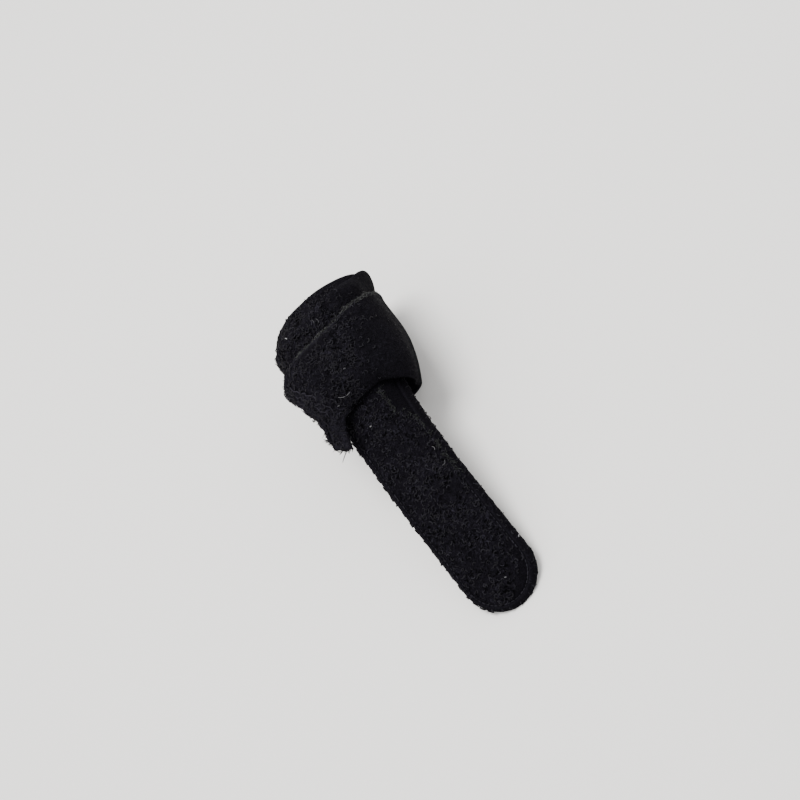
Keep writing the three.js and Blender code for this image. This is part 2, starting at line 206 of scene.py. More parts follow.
# Waves of smooth noise, each with its share, its size in millimetres and its seed
STRAP_WAVES = ((0.6, 5.5, 3), (0.4, 2.2, 7))
TONGUE_WAVES = ((0.55, 6.5, 11), (0.45, 2.6, 5))
CUT_WAVES = ((1.3, 1.1, 4), (0.7, 0.4, 9))
CORNER_WAVES = ((0.6, 1.3, 33), (0.4, 0.6, 35))


def rad(degrees):
    return degrees * math.pi / 180


def mix(a, b, share):
    return a + (b - a) * share


def clamp01(value):
    return min(1.0, max(0.0, value))


def ease(value):
    value = clamp01(value)
    return value * value * (3 - 2 * value)


def bell(value, width):
    return math.exp(-((value / width) ** 2))


# Values from the tables

def winding_at(angle, column):
    """A column of the winding at an angle, on a smooth curve through its rows."""
    row = 0
    while row < len(WINDING) - 2 and WINDING[row + 1]["angle"] < angle:
        row += 1
    before, a, b, after = (WINDING[min(max(i, 0), len(WINDING) - 1)] for i in range(row - 1, row + 3))
    span = b["angle"] - a["angle"]
    share = clamp01((angle - a["angle"]) / span)
    slope_a = (b[column] - before[column]) / (b["angle"] - before["angle"]) * span
    slope_b = (after[column] - a[column]) / (after["angle"] - a["angle"]) * span
    s2 = share * share
    s3 = s2 * share
    ends = (2 * s3 - 3 * s2 + 1) * a[column] + (s3 - 2 * s2 + share) * slope_a
    return ends + (3 * s2 - 2 * s3) * b[column] + (s3 - s2) * slope_b


def row_mix(rows, key, value, column):
    return float(np.interp(value, [row[key] for row in rows], [row[column] for row in rows]))


# The winding

TABLE_STEP = 3
FAN_STEP = 1.5
FAN_STEPS = 54
ROUND_SHARE = 0.35


def reach_of_support(angle, share):
    """How far out cloth lies that is stretched over the finger and, by a share, over the tongue's edges."""
    centre_z = TONGUE_MIDDLE + TONGUE_THICKNESS / 2 + PIECE_GAP - EDGE_BRIDGE_RADIUS
    reach = math.inf
    for fan in range(-FAN_STEPS, FAN_STEPS + 1):
        step = fan * FAN_STEP
        cos = math.cos(rad(angle + step))
        sin = math.sin(rad(angle + step))
        oval = math.hypot(HOLLOW_HALF_WIDTH * cos, HOLLOW_HALF_HEIGHT * sin)
        edge = EDGE_BRIDGE_ACROSS * abs(cos) + centre_z * sin + EDGE_BRIDGE_RADIUS
        reach = min(reach, mix(oval, max(edge, oval), share) / math.cos(rad(step)))
    return reach


ROUND_REACH = [reach_of_support(angle, ROUND_SHARE) for angle in range(0, 360, TABLE_STEP)]
PLATE_REACH = [reach_of_support(angle, 1.0) for angle in range(0, 360, TABLE_STEP)]


def smooth_table(reaches, angle):
    place = (angle % 360) / TABLE_STEP
    low = int(math.floor(place))
    return mix(reaches[low % len(reaches)], reaches[(low + 1) % len(reaches)], place - low)


def base_reach(angle, x):
    share = ease(x / (TONGUE_START + SUPPORT_RAMP))
    to_right = max(0.0, math.cos(rad(angle))) ** 1.5
    flare = DISTAL_FLARE * to_right * (1 - ease(x / DISTAL_FLARE_LENGTH))
    return mix(smooth_table(ROUND_REACH, angle), smooth_table(PLATE_REACH, angle), share) + flare


def winding_frame(angle, x):
    """The first layer's point at an angle and its outward normal, as y and z."""
    reach = base_reach(angle, x)
    slope = (base_reach(angle + FAN_STEP, x) - base_reach(angle - FAN_STEP, x)) / rad(2 * FAN_STEP)
    cos = math.cos(rad(angle))
    sin = math.sin(rad(angle))
    normal_y = reach * cos + slope * sin
    normal_z = reach * sin - slope * cos
    size = math.hypot(normal_y, normal_z)
    return reach * cos, reach * sin, normal_y / size, normal_z / size


def winding_point(angle, x, out):
    y, z, normal_y, normal_z = winding_frame(angle, x)
    return Vector((x, y + normal_y * out, z + normal_z * out))


def tab_lift(angle):
    """How far the strap stands off the layer below, over the hook tab."""
    return winding_at(angle, "lift") * (TAB_THICKNESS + TAB_CLEARANCE + PIECE_GAP)


def layer_out(angle):
    return angle / 360 * (STRAP_THICKNESS + TURN_GAP) + tab_lift(angle)


def distal_at(angle):
    return winding_at(angle, "distal") * STRAP_WIDTH


def proximal_at(angle):
    return winding_at(angle, "proximal") * STRAP_WIDTH


def draw_in(angle, along):
    """How far the cloth is drawn in: its proximal part droops and is tucked in, and its distal edge is
    pressed down on the layer below beside the hook tab."""
    width = proximal_at(angle) - distal_at(angle)
    share = clamp01((along - DROOP_FROM) / (1 - DROOP_FROM))
    bent = clamp01(1 - (1 - along) * width / TUCK_LENGTH)
    droop = winding_at(angle, "droop") * share * share
    press = EDGE_PRESS_SHARE * tab_lift(angle) * (1 - ease(along * width / EDGE_PRESS_WIDTH))
    return (droop + winding_at(angle, "tuck") * bent * bent) * STRAP_WIDTH + press


def cut_back(angle, along, ragged=0.0):
    back = row_mix(END_CUT, "along", along, "back") + ragged
    return angle - back * ease((angle - STRAP_END_ANGLE + END_CUT_SPAN) / END_CUT_SPAN)


# From the worn frame to the floor

def tilted(place):
    cos = math.cos(REST_TILT)
    sin = math.sin(REST_TILT)
    return Vector((place[0] * cos + place[2] * sin, place[1], place[2] * cos - place[0] * sin))


def lay(point):
    """From the worn frame in millimetres to the floor's frame in metres."""
    laid = tilted(point) + Vector(REST_SHIFT)
    return Vector((laid.x, laid.y, max(laid.z, 0.0))) * MM


def lay_direction(direction):
    return tilted(direction).normalized()


# Mesh helpers

def link_object(name, data):
    made = bpy.data.objects.new(name, data)
    bpy.context.scene.collection.objects.link(made)
    return made


def new_piece(name, points, faces, material, values=None, closed=True):
    """A piece with its named values, a number for each point. A closed one is smooth and faces outwards."""
    mesh = bpy.data.meshes.new(name)
    mesh.from_pydata([tuple(p) for p in points], [], faces)
    mesh.validate()
    mesh.polygons.foreach_set("use_smooth", [closed] * len(mesh.polygons))
    mesh.materials.append(material)
    for value_name, numbers in (values or {}).items():
        add_number(mesh, value_name, numbers)
    piece = link_object(name, mesh)
    if closed:
        face_outwards(piece)
    return piece


def skin_piece(name, rows, faces, material):
    """A piece from rows of a point with its wear and painted highlight, nap and pile."""
    points, wear, nap, pile = zip(*rows)
    return new_piece(name, points, faces, material, {"wear": wear, "nap": nap, "pile": pile})


def face_outwards(piece):
    bpy.ops.object.select_all(action="DESELECT")
    bpy.context.view_layer.objects.active = piece
    piece.select_set(True)
    bpy.ops.object.mode_set(mode="EDIT")
    bpy.ops.mesh.select_all(action="SELECT")
    bpy.ops.mesh.normals_make_consistent(inside=False)
    bpy.ops.object.mode_set(mode="OBJECT")


def add_number(mesh, name, values):
    mesh.attributes.new(name, "FLOAT", "POINT").data.foreach_set("value", values)


def ring_faces(rings, size, first=0):
    """Faces between rings of points, each ring closed on itself."""
    faces = []
    for ring in range(rings - 1):
        for side in range(size):
            a = first + ring * size + side
            b = first + ring * size + (side + 1) % size
            faces.append((a, b, b + size, a + size))
    return faces


def band_faces(rings, size):
    """Faces of a closed band: a flat ring has a strip from side to side at each end."""
    last = (rings - 1) * size
    strip = [(i, i + 1, size - 2 - i, size - 1 - i) for i in range(size // 2 - 1)]
    start = [face[::-1] for face in strip]
    return ring_faces(rings, size) + start + [tuple(last + i for i in face) for face in strip]


THREAD_TAPER = 0.55


def thread_tube(route, radius, sides, points, faces):
    """A closed tube along a route, added to lists of points and faces."""
    first = len(points)
    last = len(route) - 1
    normal = (route[1] - route[0]).normalized().orthogonal().normalized()
    for i, centre in enumerate(route):
        ahead = (route[min(i + 1, last)] - route[max(i - 1, 0)]).normalized()
        normal = (normal - ahead * normal.dot(ahead)).normalized()
        side = ahead.cross(normal)
        size = radius * (THREAD_TAPER if i in (0, last) else 1.0)
        for step in range(sides):
            turn = 2 * math.pi * step / sides
            points.append(centre + (normal * math.cos(turn) + side * math.sin(turn)) * size)
    faces += ring_faces(len(route), sides, first)
    faces.append(tuple(first + step for step in reversed(range(sides))))
    faces.append(tuple(first + last * sides + step for step in range(sides)))


def thread_piece(name, threads, material, place=lay):
    """One piece of many threads, each given as its route, radius, number of sides and tone."""
    points, faces, tones = [], [], []
    for route, radius, sides, tone in threads:
        thread_tube(route, radius, sides, points, faces)
        tones += [tone] * (len(points) - len(tones))
    return new_piece(name, [place(p) for p in points], faces, material, {"tone": tones})


def keep_off_floor(piece):
    """Presses fibres that would reach under the floor up to it."""
    for vertex in piece.data.vertices:
        vertex.co.z = max(vertex.co.z, 0)


def carry(piece, slot, cad_node=None):
    """Fixes a finished piece to the splint and hides the node that it stands for. The slot that would name
    its finish is not used.
    """
    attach(piece, "root")
    if cad_node:
        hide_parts(cad_node)


def ripple(point, size, seed):
    """Smooth noise from -1 to 1 at a size in millimetres."""
    return noise.noise(Vector(point) / size + Vector((seed, 2.3 * seed, -seed)))


def waves(place, parts):
    return sum(share * ripple(place, size, seed) for share, size, seed in parts)


# How thick the pile stands: in the middle, how much more or less in its tufts, at least and at most
PILE_MIDDLE = 0.85
PILE_SWING = 1.5
PILE_LEAST = 0.12
PILE_MOST = 1.35


def clump(place, seed):
    """How thick the pile stands at a place: it lies in tufts some millimetres wide."""
    tuft = waves(place, ((0.65, 5.2, seed), (0.35, 2.4, seed + 5)))
    return min(PILE_MOST, max(PILE_LEAST, PILE_MIDDLE + PILE_SWING * tuft))


# Node helpers. A node's inputs are given by name or number, each as a value or as another node's output.

def feed(tree, made, inputs):
    for key, value in inputs.items():
        if isinstance(value, bpy.types.NodeSocket):
            tree.links.new(value, made.inputs[key])
        else:
            made.inputs[key].default_value = value
    return made


def node(tree, kind, inputs=None, **settings):
    made = tree.nodes.new(kind)
    for key, value in settings.items():
        setattr(made, key, value)
    return feed(tree, made, inputs or {})


def result(tree, kind, inputs=None, output=0, **settings):
    """One output of a new node."""
    return node(tree, kind, inputs, **settings).outputs[output]


def math_of(tree, operation, *values, clamp=False):
    return result(tree, "ShaderNodeMath", dict(enumerate(values)), operation=operation, use_clamp=clamp)


def ranged(tree, value, low, high, to_low=0.0, to_high=1.0):
    """A value carried from low..high to to_low..to_high."""
    ends = {"Value": value, "From Min": low, "From Max": high, "To Min": to_low, "To Max": to_high}
    return result(tree, "ShaderNodeMapRange", ends)


def colour_mix(tree, share, a, b):
    return result(tree, "ShaderNodeMix", {0: share, 6: a, 7: b}, 2, data_type="RGBA")


def noise_at(tree, place, scale, detail=2, output="Fac", **more):
    inputs = {"Vector": place, "Scale": scale, "Detail": detail, **more}
    return result(tree, "ShaderNodeTexNoise", inputs, output)


def new_tree(name, kind, inputs, outputs):
    """A node tree with named inputs and outputs, each given with its kind of socket."""
    tree = bpy.data.node_groups.new(name, kind)
    for way, sockets in (("INPUT", inputs), ("OUTPUT", outputs)):
        for socket, socket_kind in sockets.items():
            tree.interface.new_socket(name=socket, in_out=way, socket_type="NodeSocket" + socket_kind)
    return tree


def run_tree(piece, tree, values):
    """Puts a Geometry Nodes tree on a piece, sets its named inputs and turns the result into a plain mesh."""
    modifier = piece.modifiers.new(tree.name, "NODES")
    modifier.node_group = tree
    for item in tree.interface.items_tree:
        if item.item_type == "SOCKET" and item.in_out == "INPUT" and item.name in values:
            modifier[item.identifier] = values[item.name]
    bpy.context.view_layer.update()
    graph = bpy.context.evaluated_depsgraph_get()
    mesh = bpy.data.meshes.new_from_object(piece.evaluated_get(graph))
    piece.modifiers.remove(modifier)
    old = piece.data
    piece.data = mesh
    mesh.name = piece.name
    bpy.data.meshes.remove(old)
    if not mesh.polygons:
        raise RuntimeError(piece.name + " came out empty")
    return piece


# Sizes and colours that a user would change

def colour_prop(name, text, default):
    return bpy.props.FloatVectorProperty(
        name=name, description=text, subtype="COLOR", size=3, min=0, max=1, default=default
    )


def number_prop(name, text, default, unit="NONE", **more):
    return bpy.props.FloatProperty(name=name, description=text, unit=unit, min=0, default=default, **more)


def length_prop(name, text, default, high):
    return number_prop(name, text, default, "LENGTH", max=high, precision=5)


class SplintClothSettings(bpy.types.PropertyGroup):
    strap_colour: colour_prop("Strap colour", "Ground colour of the strap's cloth", (0.0053, 0.0047, 0.0069))
    tongue_colour: colour_prop("Tongue colour", "Ground colour of the tongue", (0.0047, 0.0041, 0.0062))
    fibre_colour: colour_prop("Fibre colour", "Colour of a fibre that catches light", (0.0235, 0.022, 0.031))
    lint_colour: colour_prop("Lint colour", "Colour of lint on the cloth", (0.26, 0.26, 0.27))
    tape_colour: colour_prop("Tape colour", "Colour of the hook tape", (0.010, 0.010, 0.012))
    slack: length_prop("Slack", "How far the cloth ripples", 0.00013, 0.001)


class SplintPileSettings(bpy.types.PropertyGroup):
    loop_radius: length_prop("Loop radius", "Radius of a loop of the pile", 0.00036, 0.002)
    fibre_radius: length_prop("Yarn radius", "Radius of a loop's yarn", 0.00015, 0.001)
    strap_density: number_prop("Strap loops", "Loops on each square metre of strap", 1.5e6)
    tongue_density: number_prop("Tongue loops", "Loops on each square metre of tongue", 0.8e6)


class SplintStitchSettings(bpy.types.PropertyGroup):
    edge_spacing: length_prop("Edge stitch spacing", "Distance between edge stitches", 0.0026, 0.02)
    edge_thread: length_prop("Edge thread", "Radius of the edge thread", 0.00019, 0.001)
    seam_spacing: length_prop("Seam stitch spacing", "Distance between seam stitches", 0.0012, 0.02)
    seam_thread: length_prop("Seam thread", "Radius of the seam thread", 0.00017, 0.001)


class SplintStageSettings(bpy.types.PropertyGroup):
    floor_colour: colour_prop("Floor colour", "Colour of the floor", (0.90, 0.895, 0.885))
    key_power: number_prop("Key light", "Power of the soft key light", 5.8, "POWER")
    sky_strength: number_prop("Sky", "Strength of the even light all round", 1.2)


# Materials

def rgba(colour, share=1.0):
    """A colour for a socket, brightened by a share."""
    return (*(c * share for c in colour), 1)


def principled(name):
    made = bpy.data.materials.new(name)
    made.use_nodes = True
    return made, made.node_tree, made.node_tree.nodes["Principled BSDF"]


def object_place(tree):
    return result(tree, "ShaderNodeTexCoord", output="Object")


def attribute(tree, name):
    return result(tree, "ShaderNodeAttribute", output="Fac", attribute_name=name)


def bump(tree, height, distance, strength=1.0):
    return result(tree, "ShaderNodeBump", {"Height": height, "Distance": distance, "Strength": strength})


def cloth_group():
    """Colour, roughness and height of loop cloth, from places in metres: yarns that curl round dark pits. The
    yarns are lightened as a painted highlight and the pits are darkened as painted shade.
    """
    name = "Brushed cloth"
    if name in bpy.data.node_groups:
        return bpy.data.node_groups[name]
    inputs = {"Place": "Vector", "Ground": "Color", "Fibre": "Color", "Wear": "Float", "Nap": "Float"}
    outputs = {"Colour": "Color", "Roughness": "Float", "Height": "Float"}
    tree = new_tree(name, "ShaderNodeTree", inputs, outputs)
    source = node(tree, "NodeGroupInput").outputs
    place = source["Place"]
    nap = source["Nap"]
    wander = noise_at(tree, place, 1100, output="Color")
    centred = result(tree, "ShaderNodeVectorMath", {0: wander, 1: (0.5, 0.5, 0.5)}, operation="SUBTRACT")
    stray = {0: centred, 1: (0.0027, 0.0027, 0.0027), 2: place}
    strayed = result(tree, "ShaderNodeVectorMath", stray, operation="MULTIPLY_ADD")
    net = {"Vector": strayed, "Scale": 720}
    cells = result(tree, "ShaderNodeTexVoronoi", net, "Distance", feature="DISTANCE_TO_EDGE")
    curls = noise_at(tree, place, 1500, 4, Roughness=0.6, Distortion=1.2)
    # The yarns along the cells' edges take the fibre colour: a painted highlight where fibres catch the
    # light.
    yarn = ranged(tree, cells, 0.03, 0.2, 1.0, 0.0)
    pit = ranged(tree, cells, 0.13, 0.26)
    broken = ranged(tree, noise_at(tree, place, 430), 0.42, 0.54)
    patches = ranged(tree, noise_at(tree, place, 150), 0.38, 0.6, 0.35, 1.0)
    fleck = ranged(tree, curls, 0.45, 0.66)
    shown = math_of(tree, "MULTIPLY", yarn, patches)
    flecked = math_of(tree, "MULTIPLY", shown, fleck)
    napped = math_of(tree, "MULTIPLY", flecked, nap)
    # The fibre colour's share: the yarns' painted highlight, with the wear attribute added.
    worn = math_of(tree, "ADD", napped, source["Wear"], clamp=True)
    # The pits inside the cells are darkened: painted shade in the hollows between the loops.
    deep = math_of(tree, "MULTIPLY", pit, broken)
    pitted = math_of(tree, "MULTIPLY", deep, nap)
    tone = ranged(tree, pitted, 0.0, 1.0, 1.0, 0.1)
    # Where the nap is low the ground is darker: painted shade in the seam's groove, on the strap's
    # right-facing side and on the tongue's curled edge; between tufts it is the cloth's uneven tone.
    nap_tone_and_shade = ranged(tree, nap, 0.0, 1.0, 0.62, 1.0)
    toned = math_of(tree, "MULTIPLY", tone, nap_tone_and_shade)
    shade = colour_mix(tree, toned, (0, 0, 0, 1), source["Ground"])
    sunk = math_of(tree, "MULTIPLY_ADD", pitted, -1.0, yarn)
    node(tree, "NodeGroupOutput", {
        "Colour": colour_mix(tree, worn, shade, source["Fibre"]),
        "Roughness": ranged(tree, curls, 0.0, 1.0, 0.86, 1.0),
        "Height": math_of(tree, "MULTIPLY_ADD", curls, 0.45, sunk),
    })
    return tree


def cloth_material(name, ground, fibre):
    """Brushed cloth. The piece's attribute for wear and painted highlight lightens it, and its nap attribute
    shows the curls; where the nap is low the ground is darker, which in places is painted shade.
    """
    made, tree, shader = principled(name)
    cloth = node(tree, "ShaderNodeGroup", {
        "Place": object_place(tree),
        "Wear": attribute(tree, "wear"),
        "Nap": attribute(tree, "nap"),
        "Ground": rgba(ground),
        "Fibre": rgba(fibre),
    }, node_tree=cloth_group()).outputs
    feed(tree, shader, {
        "Base Color": cloth["Colour"],
        "Roughness": cloth["Roughness"],
        "Normal": bump(tree, cloth["Height"], 0.00035, 0.9),
        "Specular IOR Level": 0.025,
        "Sheen Weight": 0.006,
        "Sheen Roughness": 0.55,
        "Sheen Tint": (0.75, 0.75, 0.85, 1),
    })
    return made


def fibre_material(name, dark, light, sheen=0.01):
    """A fibre whose tone comes from its own tone attribute."""
    made, tree, shader = principled(name)
    feed(tree, shader, {
        "Base Color": colour_mix(tree, attribute(tree, "tone"), dark, light),
        "Roughness": 0.7,
        "Specular IOR Level": 0.12,
        "Sheen Weight": sheen,
    })
    return made


def tape_material(colour):
    """The hook tape's woven ground."""
    made, tree, shader = principled("Hook tape")
    ribs = {"Vector": object_place(tree), "Scale": 420, "Distortion": 1.5}
    weave = result(tree, "ShaderNodeTexWave", ribs, "Fac", wave_type="BANDS", bands_direction="DIAGONAL")
    feed(tree, shader, {
        "Base Color": colour_mix(tree, weave, rgba(colour, 0.6), rgba(colour, 1.5)),
        "Normal": bump(tree, weave, 0.00008),
        "Roughness": 0.55,
        "Specular IOR Level": 0.1,
    })
    return made


def floor_material(colour):
    made, tree, shader = principled("Pale floor")
    mottle = result(tree, "ShaderNodeTexNoise", {"Vector": object_place(tree), "Scale": 9}, "Fac")
    shade = colour_mix(tree, mottle, rgba(colour, 0.985), rgba(colour))
    feed(tree, shader, {"Base Color": shade, "Roughness": 0.8})
    return made


# Strap

STRAP_STEP = 1.25
RIDGED_SPAN = 12
RIDGED_STEP = 0.4
MM_PER_DEGREE = 0.27
RIPPLE_PER_DEGREE = 0.25
RIDGE_SPACING = 0.95
RIDGE_REACH = 2.6
RIDGE_HEIGHT = 0.3
RIDGE_SEEN = 32
FACE_STEPS = 30
EDGE_STEPS = 4
EDGE_WIDTH = 0.5
EDGE_FULLNESS = 0.8
CUT_STEPS = 90
CUT_WAVE_LENGTH = 20
COVER_MARGIN = 0.3
# The worn corner beside the cut: how far it wanders, from what angle on, and over what share of the width
CORNER_WANDER = 0.7
CORNER_FROM = 838
CORNER_LEAD = 8
CORNER_SHARE = 0.2
# Angles between which the outer turn's distal edge is worn pale, and how pale and wide the wear is
WORN_FROM = 690
WORN_TO = 850
EDGE_WEAR = 0.8
EDGE_WEAR_WIDTH = 0.42
# How much the crests of the ridges along the cut are lightened: a painted highlight.
RIDGE_HIGHLIGHT = 0.4
# The cloth is smooth where it faces right: from this share on at its distal and its proximal edge. Its lower
# nap there darkens its ground too, which is painted shade. Where it faces right altogether it has no nap, and
# its
# ground is darkest there: painted shade.
SMOOTH_FACING = (0.38, 0.12)
SMOOTH_BLEND = 0.35
SMOOTH_NAP = 0.3
SHADED_FACING = 0.8
# What is left of the pile beside the strap's edges and on its frayed end, and of the nap between tufts
RIM_PILE = 0.15
RIM_PILE_WIDTH = 0.9
FRAYED_PILE = 0.75
THIN_NAP = 0.45
# What is left of the pile on the inner face, in the hollow and where a turn stands past the one below
HOLLOW_PILE = 0.15
OVERHANG_PILE = 0.4
STRAP_TUFT_SEED = 51


def edge_rise(value):
    return 0.5 + 0.5 * math.copysign(abs(value) ** EDGE_FULLNESS, value)


def strap_section(width):
    """Points round the strap's section: the share along its width, the share out, and whether it is the
    outer face."""
    soft = EDGE_WIDTH / width
    turns = [math.pi / 2 * step / EDGE_STEPS for step in range(2 * EDGE_STEPS)]
    shares = [step / FACE_STEPS for step in range(FACE_STEPS + 1)]
    points = [(soft * (1 - math.sin(turn)), edge_rise(math.sin(turn)), 1) for turn in turns[:EDGE_STEPS]]
    points += [(mix(soft, 1 - soft, share), 1.0, 1) for share in shares]
    for turn in turns[1:]:
        points.append((1 - soft + soft * math.sin(turn), edge_rise(math.cos(turn)), int(turn < math.pi / 2)))
    points += [(mix(1 - soft, soft, share), 0.0, 0) for share in shares]
    points += [(soft * (1 - math.sin(turn)), edge_rise(-math.cos(turn)), 0) for turn in turns[1:EDGE_STEPS]]
    return points


def covered(angle, x):
    """How deep a point of the outer face lies under the next turn, in millimetres."""
    over = angle + 360
    if over > STRAP_END_ANGLE:
        return -math.inf
    return min(x - distal_at(over), proximal_at(over) - x) - COVER_MARGIN


def inner_shown(angle, x):
    """The inner face shows in the finger hollow and where a turn stands past the one below it."""
    if angle < 360:
        return HOLLOW_PILE
    below = angle - 360
    stands_past = x < distal_at(below) - 0.2 or x > proximal_at(below) + 0.4
    return OVERHANG_PILE if stands_past else 0.0


def strap_stations():
    """Angles of the strap's rings, closer together where the cut end is ridged."""
    fine_from = STRAP_END_ANGLE - RIDGED_SPAN
    coarse = round(fine_from / STRAP_STEP)
    fine = round(RIDGED_SPAN / RIDGED_STEP)
    angles = [fine_from * i / coarse for i in range(coarse)]
    return angles + [fine_from + RIDGED_SPAN * i / fine for i in range(fine + 1)]


def ragged_cut(along):
    """Degrees by which the cut wanders at a share of the strap's width."""
    return waves((along * CUT_WAVE_LENGTH, 0, 0), CUT_WAVES)


def corner_wave(angle, along):
    """How far the worn proximal corner beside the cut wanders along the finger, in millimetres."""
    wave = waves((angle * MM_PER_DEGREE, 0, 0), CORNER_WAVES)
    near = ease((angle - CORNER_FROM) / CORNER_LEAD) * ease((along - 1 + CORNER_SHARE) / CORNER_SHARE)
    return CORNER_WANDER * wave * near


def unrolled(angle, x):
    """A place on the strap laid out flat, in millimetres, near its end."""
    return MM_PER_DEGREE * angle, x


def at_end(along):
    """Where a share of the strap's width lies along the finger at the strap's end."""
    return mix(distal_at(STRAP_END_ANGLE), proximal_at(STRAP_END_ANGLE), along)


def cut_angle(along):
    return cut_back(STRAP_END_ANGLE, along, ragged_cut(along))


def cut_line():
    """The cut of the strap's end, laid out flat."""
    alongs = [i / CUT_STEPS for i in range(CUT_STEPS + 1)]
    return [unrolled(cut_angle(along), at_end(along)) for along in alongs]


def cut_ridge(turned, x, line):
    """The ridges along the worn cut end, from 0 to 1, whose crests get a painted highlight, and how strongly
    the fraying shows there.
    """
    if turned < STRAP_END_ANGLE - RIDGE_SEEN:
        return 0.0, 0.0
    place = unrolled(turned, x)
    back = min(math.dist(place, spot) for spot in line) + 0.22 * ripple((x, turned * 0.1, 0), 1.6, 27)
    fade = bell(back, RIDGE_REACH)
    return fade * (0.5 - 0.5 * math.cos(2 * math.pi * (back - 0.1) / RIDGE_SPACING)), fade


def strap_ripple(angle, x, outer):
    """Small ripples of the cloth, within the gap between turns."""
    exposed = ease((0.5 - covered(angle, x)) / 2.5)
    return waves((angle * RIPPLE_PER_DEGREE, x, 0), STRAP_WAVES) * (mix(0.3, 1.0, exposed) if outer else 0.3)


def strap_looks(angle, turned, x, along, width, ridge, frayed, outer):
    """How worn the cloth is, with a painted highlight on the cut's ridges; how much nap it shows, its lack
    being painted shade where the cloth faces right; and how thick its pile stands.
    """
    facing = math.cos(rad(turned))
    smooth = ease((facing - mix(*SMOOTH_FACING, along)) / SMOOTH_BLEND)
    tufted = clump((angle * RIPPLE_PER_DEGREE, x, 0), STRAP_TUFT_SEED)
    edge = bell(min(along, 0.2) * width, EDGE_WEAR_WIDTH) * (1.0 if WORN_FROM < angle < WORN_TO else 0.3)
    shown = ease((0.2 - covered(turned, x)) / 0.5) if outer else inner_shown(angle, x)
    rim = mix(RIM_PILE, 1.0, ease(min(along, 1 - along) * width / RIM_PILE_WIDTH))
    # Worn pale along the distal edge, and a painted highlight on the crests of the ridges along the cut.
    wear = (EDGE_WEAR * edge + RIDGE_HIGHLIGHT * ridge) * outer
    # Low nap darkens the ground: on the smooth part, and most where the cloth faces right, this is painted
    # shade.
    nap = mix(mix(THIN_NAP, 1.0, clamp01(tufted)), SMOOTH_NAP, smooth)
    nap *= 1 - ease((facing - SHADED_FACING) / (1 - SHADED_FACING))
    return wear, nap, shown * mix(tufted, 0.0, smooth) * rim * mix(1.0, FRAYED_PILE, frayed)


def strap_skin(slack):
    """Points of the strap's closed skin, ring by ring, with their wear and painted highlight, nap and pile.
    """
    rows = []
    line = cut_line()
    for angle in strap_stations():
        distal = distal_at(angle)
        width = proximal_at(angle) - distal
        for along, share, outer in strap_section(width):
            x = distal + width * along + corner_wave(angle, along)
            turned = cut_back(angle, along, ragged_cut(along))
            ridge, frayed = cut_ridge(turned, x, line)
            height = layer_out(angle) + share * STRAP_THICKNESS - draw_in(angle, along)
            height += slack * strap_ripple(angle, x, outer)
            height += (ridge - 0.5 * frayed) * RIDGE_HEIGHT * outer * share
            looks = strap_looks(angle, turned, x, along, width, ridge, frayed, outer)
            rows.append((lay(winding_point(turned, x, height)), *looks))
    return rows


def strap_arc_length():
    """Length of the strap's middle line, in millimetres."""
    route = [winding_point(angle, STRAP_MIDDLE, layer_out(angle) + STRAP_THICKNESS / 2)
             for angle in strap_stations()]
    return sum((b.yz - a.yz).length for a, b in zip(route, route[1:]))


class SPLINT_OT_strap(bpy.types.Operator):
    """Makes the wound strap as one closed cloth"""

    bl_idname = "splint.strap"
    bl_label = "Make strap"

    def execute(self, context):
        look = context.scene.splint_cloth
        cloth = cloth_material("Strap loop cloth", look.strap_colour, look.fibre_colour)
        faces = band_faces(len(strap_stations()), len(strap_section(STRAP_WIDTH)))
        piece = skin_piece("strap_cloth", strap_skin(look.slack / MM), faces, cloth)
        carry(piece, "strap_cloth", "strap")
        return {"FINISHED"}


# Tongue

TONGUE_SIDE_STEPS = 110
TONGUE_ROUND_STEPS = 72
TONGUE_CORNER_STEPS = 8
# Point i of the outline mirrors point TONGUE_MIRROR - i across the middle line.
TONGUE_MIRROR = 2 * TONGUE_SIDE_STEPS + TONGUE_ROUND_STEPS
# Where the pile of the tongue comes out from under the strap, and what is left of nap and pile in places
PILE_START = 30
# Less nap also darkens the cloth's ground: in the seam's groove and on the smooth curled stretch that is
# painted shade.
TONGUE_THIN = table(
    "where nap pile",
    ("groove", 0.3, 0.0),
    ("rim", 0.35, 0.14),
    ("smooth stretch", 0.05, 0.03),
    ("under the strap", 1.0, 0.15),
)
# The rim reaches in to this far outside the seam. On the ridge there, beside the seam, the cloth is painted a
# little pale: a painted highlight.
RIM_START = 0.5
RIM_BLEND = 0.3
SEAM_RIDGE_HIGHLIGHT = 0.14
TONGUE_TUFT_SEED = 61
# The small ridges beside the seam: how far off it they lie, how high they stand and how wide they are
SEAM_RIDGES = table("off height width", (-0.5, 0.12, 0.3), (0.55, 0.1, 0.35))
GROOVE_DEPTH = 0.28
GROOVE_WIDTH = 0.22
# How far the padding ripples, as a share of the cloth's slack
PAD_RIPPLE = 1.3


def tongue_height(x):
    along = clamp01((x - TONGUE_MOUTH) / (TONGUE_END - TONGUE_MOUTH))
    return TONGUE_MIDDLE + TONGUE_BOW * math.sin(math.pi * along)


def tongue_taper(x):
    share = clamp01((x - TONGUE_START) / (TONGUE_END - TONGUE_ROUND_LENGTH - TONGUE_START))
    return mix(TONGUE_HEAD_WIDTH / TONGUE_WIDTH, 1.0, share)


def tongue_shift(x):
    away = TONGUE_SIDE_SHIFT * ease((x - TONGUE_SHIFT_START) / TONGUE_SHIFT_LENGTH)
    along = (x - TONGUE_TIP_SHIFT_START) / (TONGUE_END - TONGUE_TIP_SHIFT_START)
    return away + TONGUE_TIP_SHIFT * ease(along)


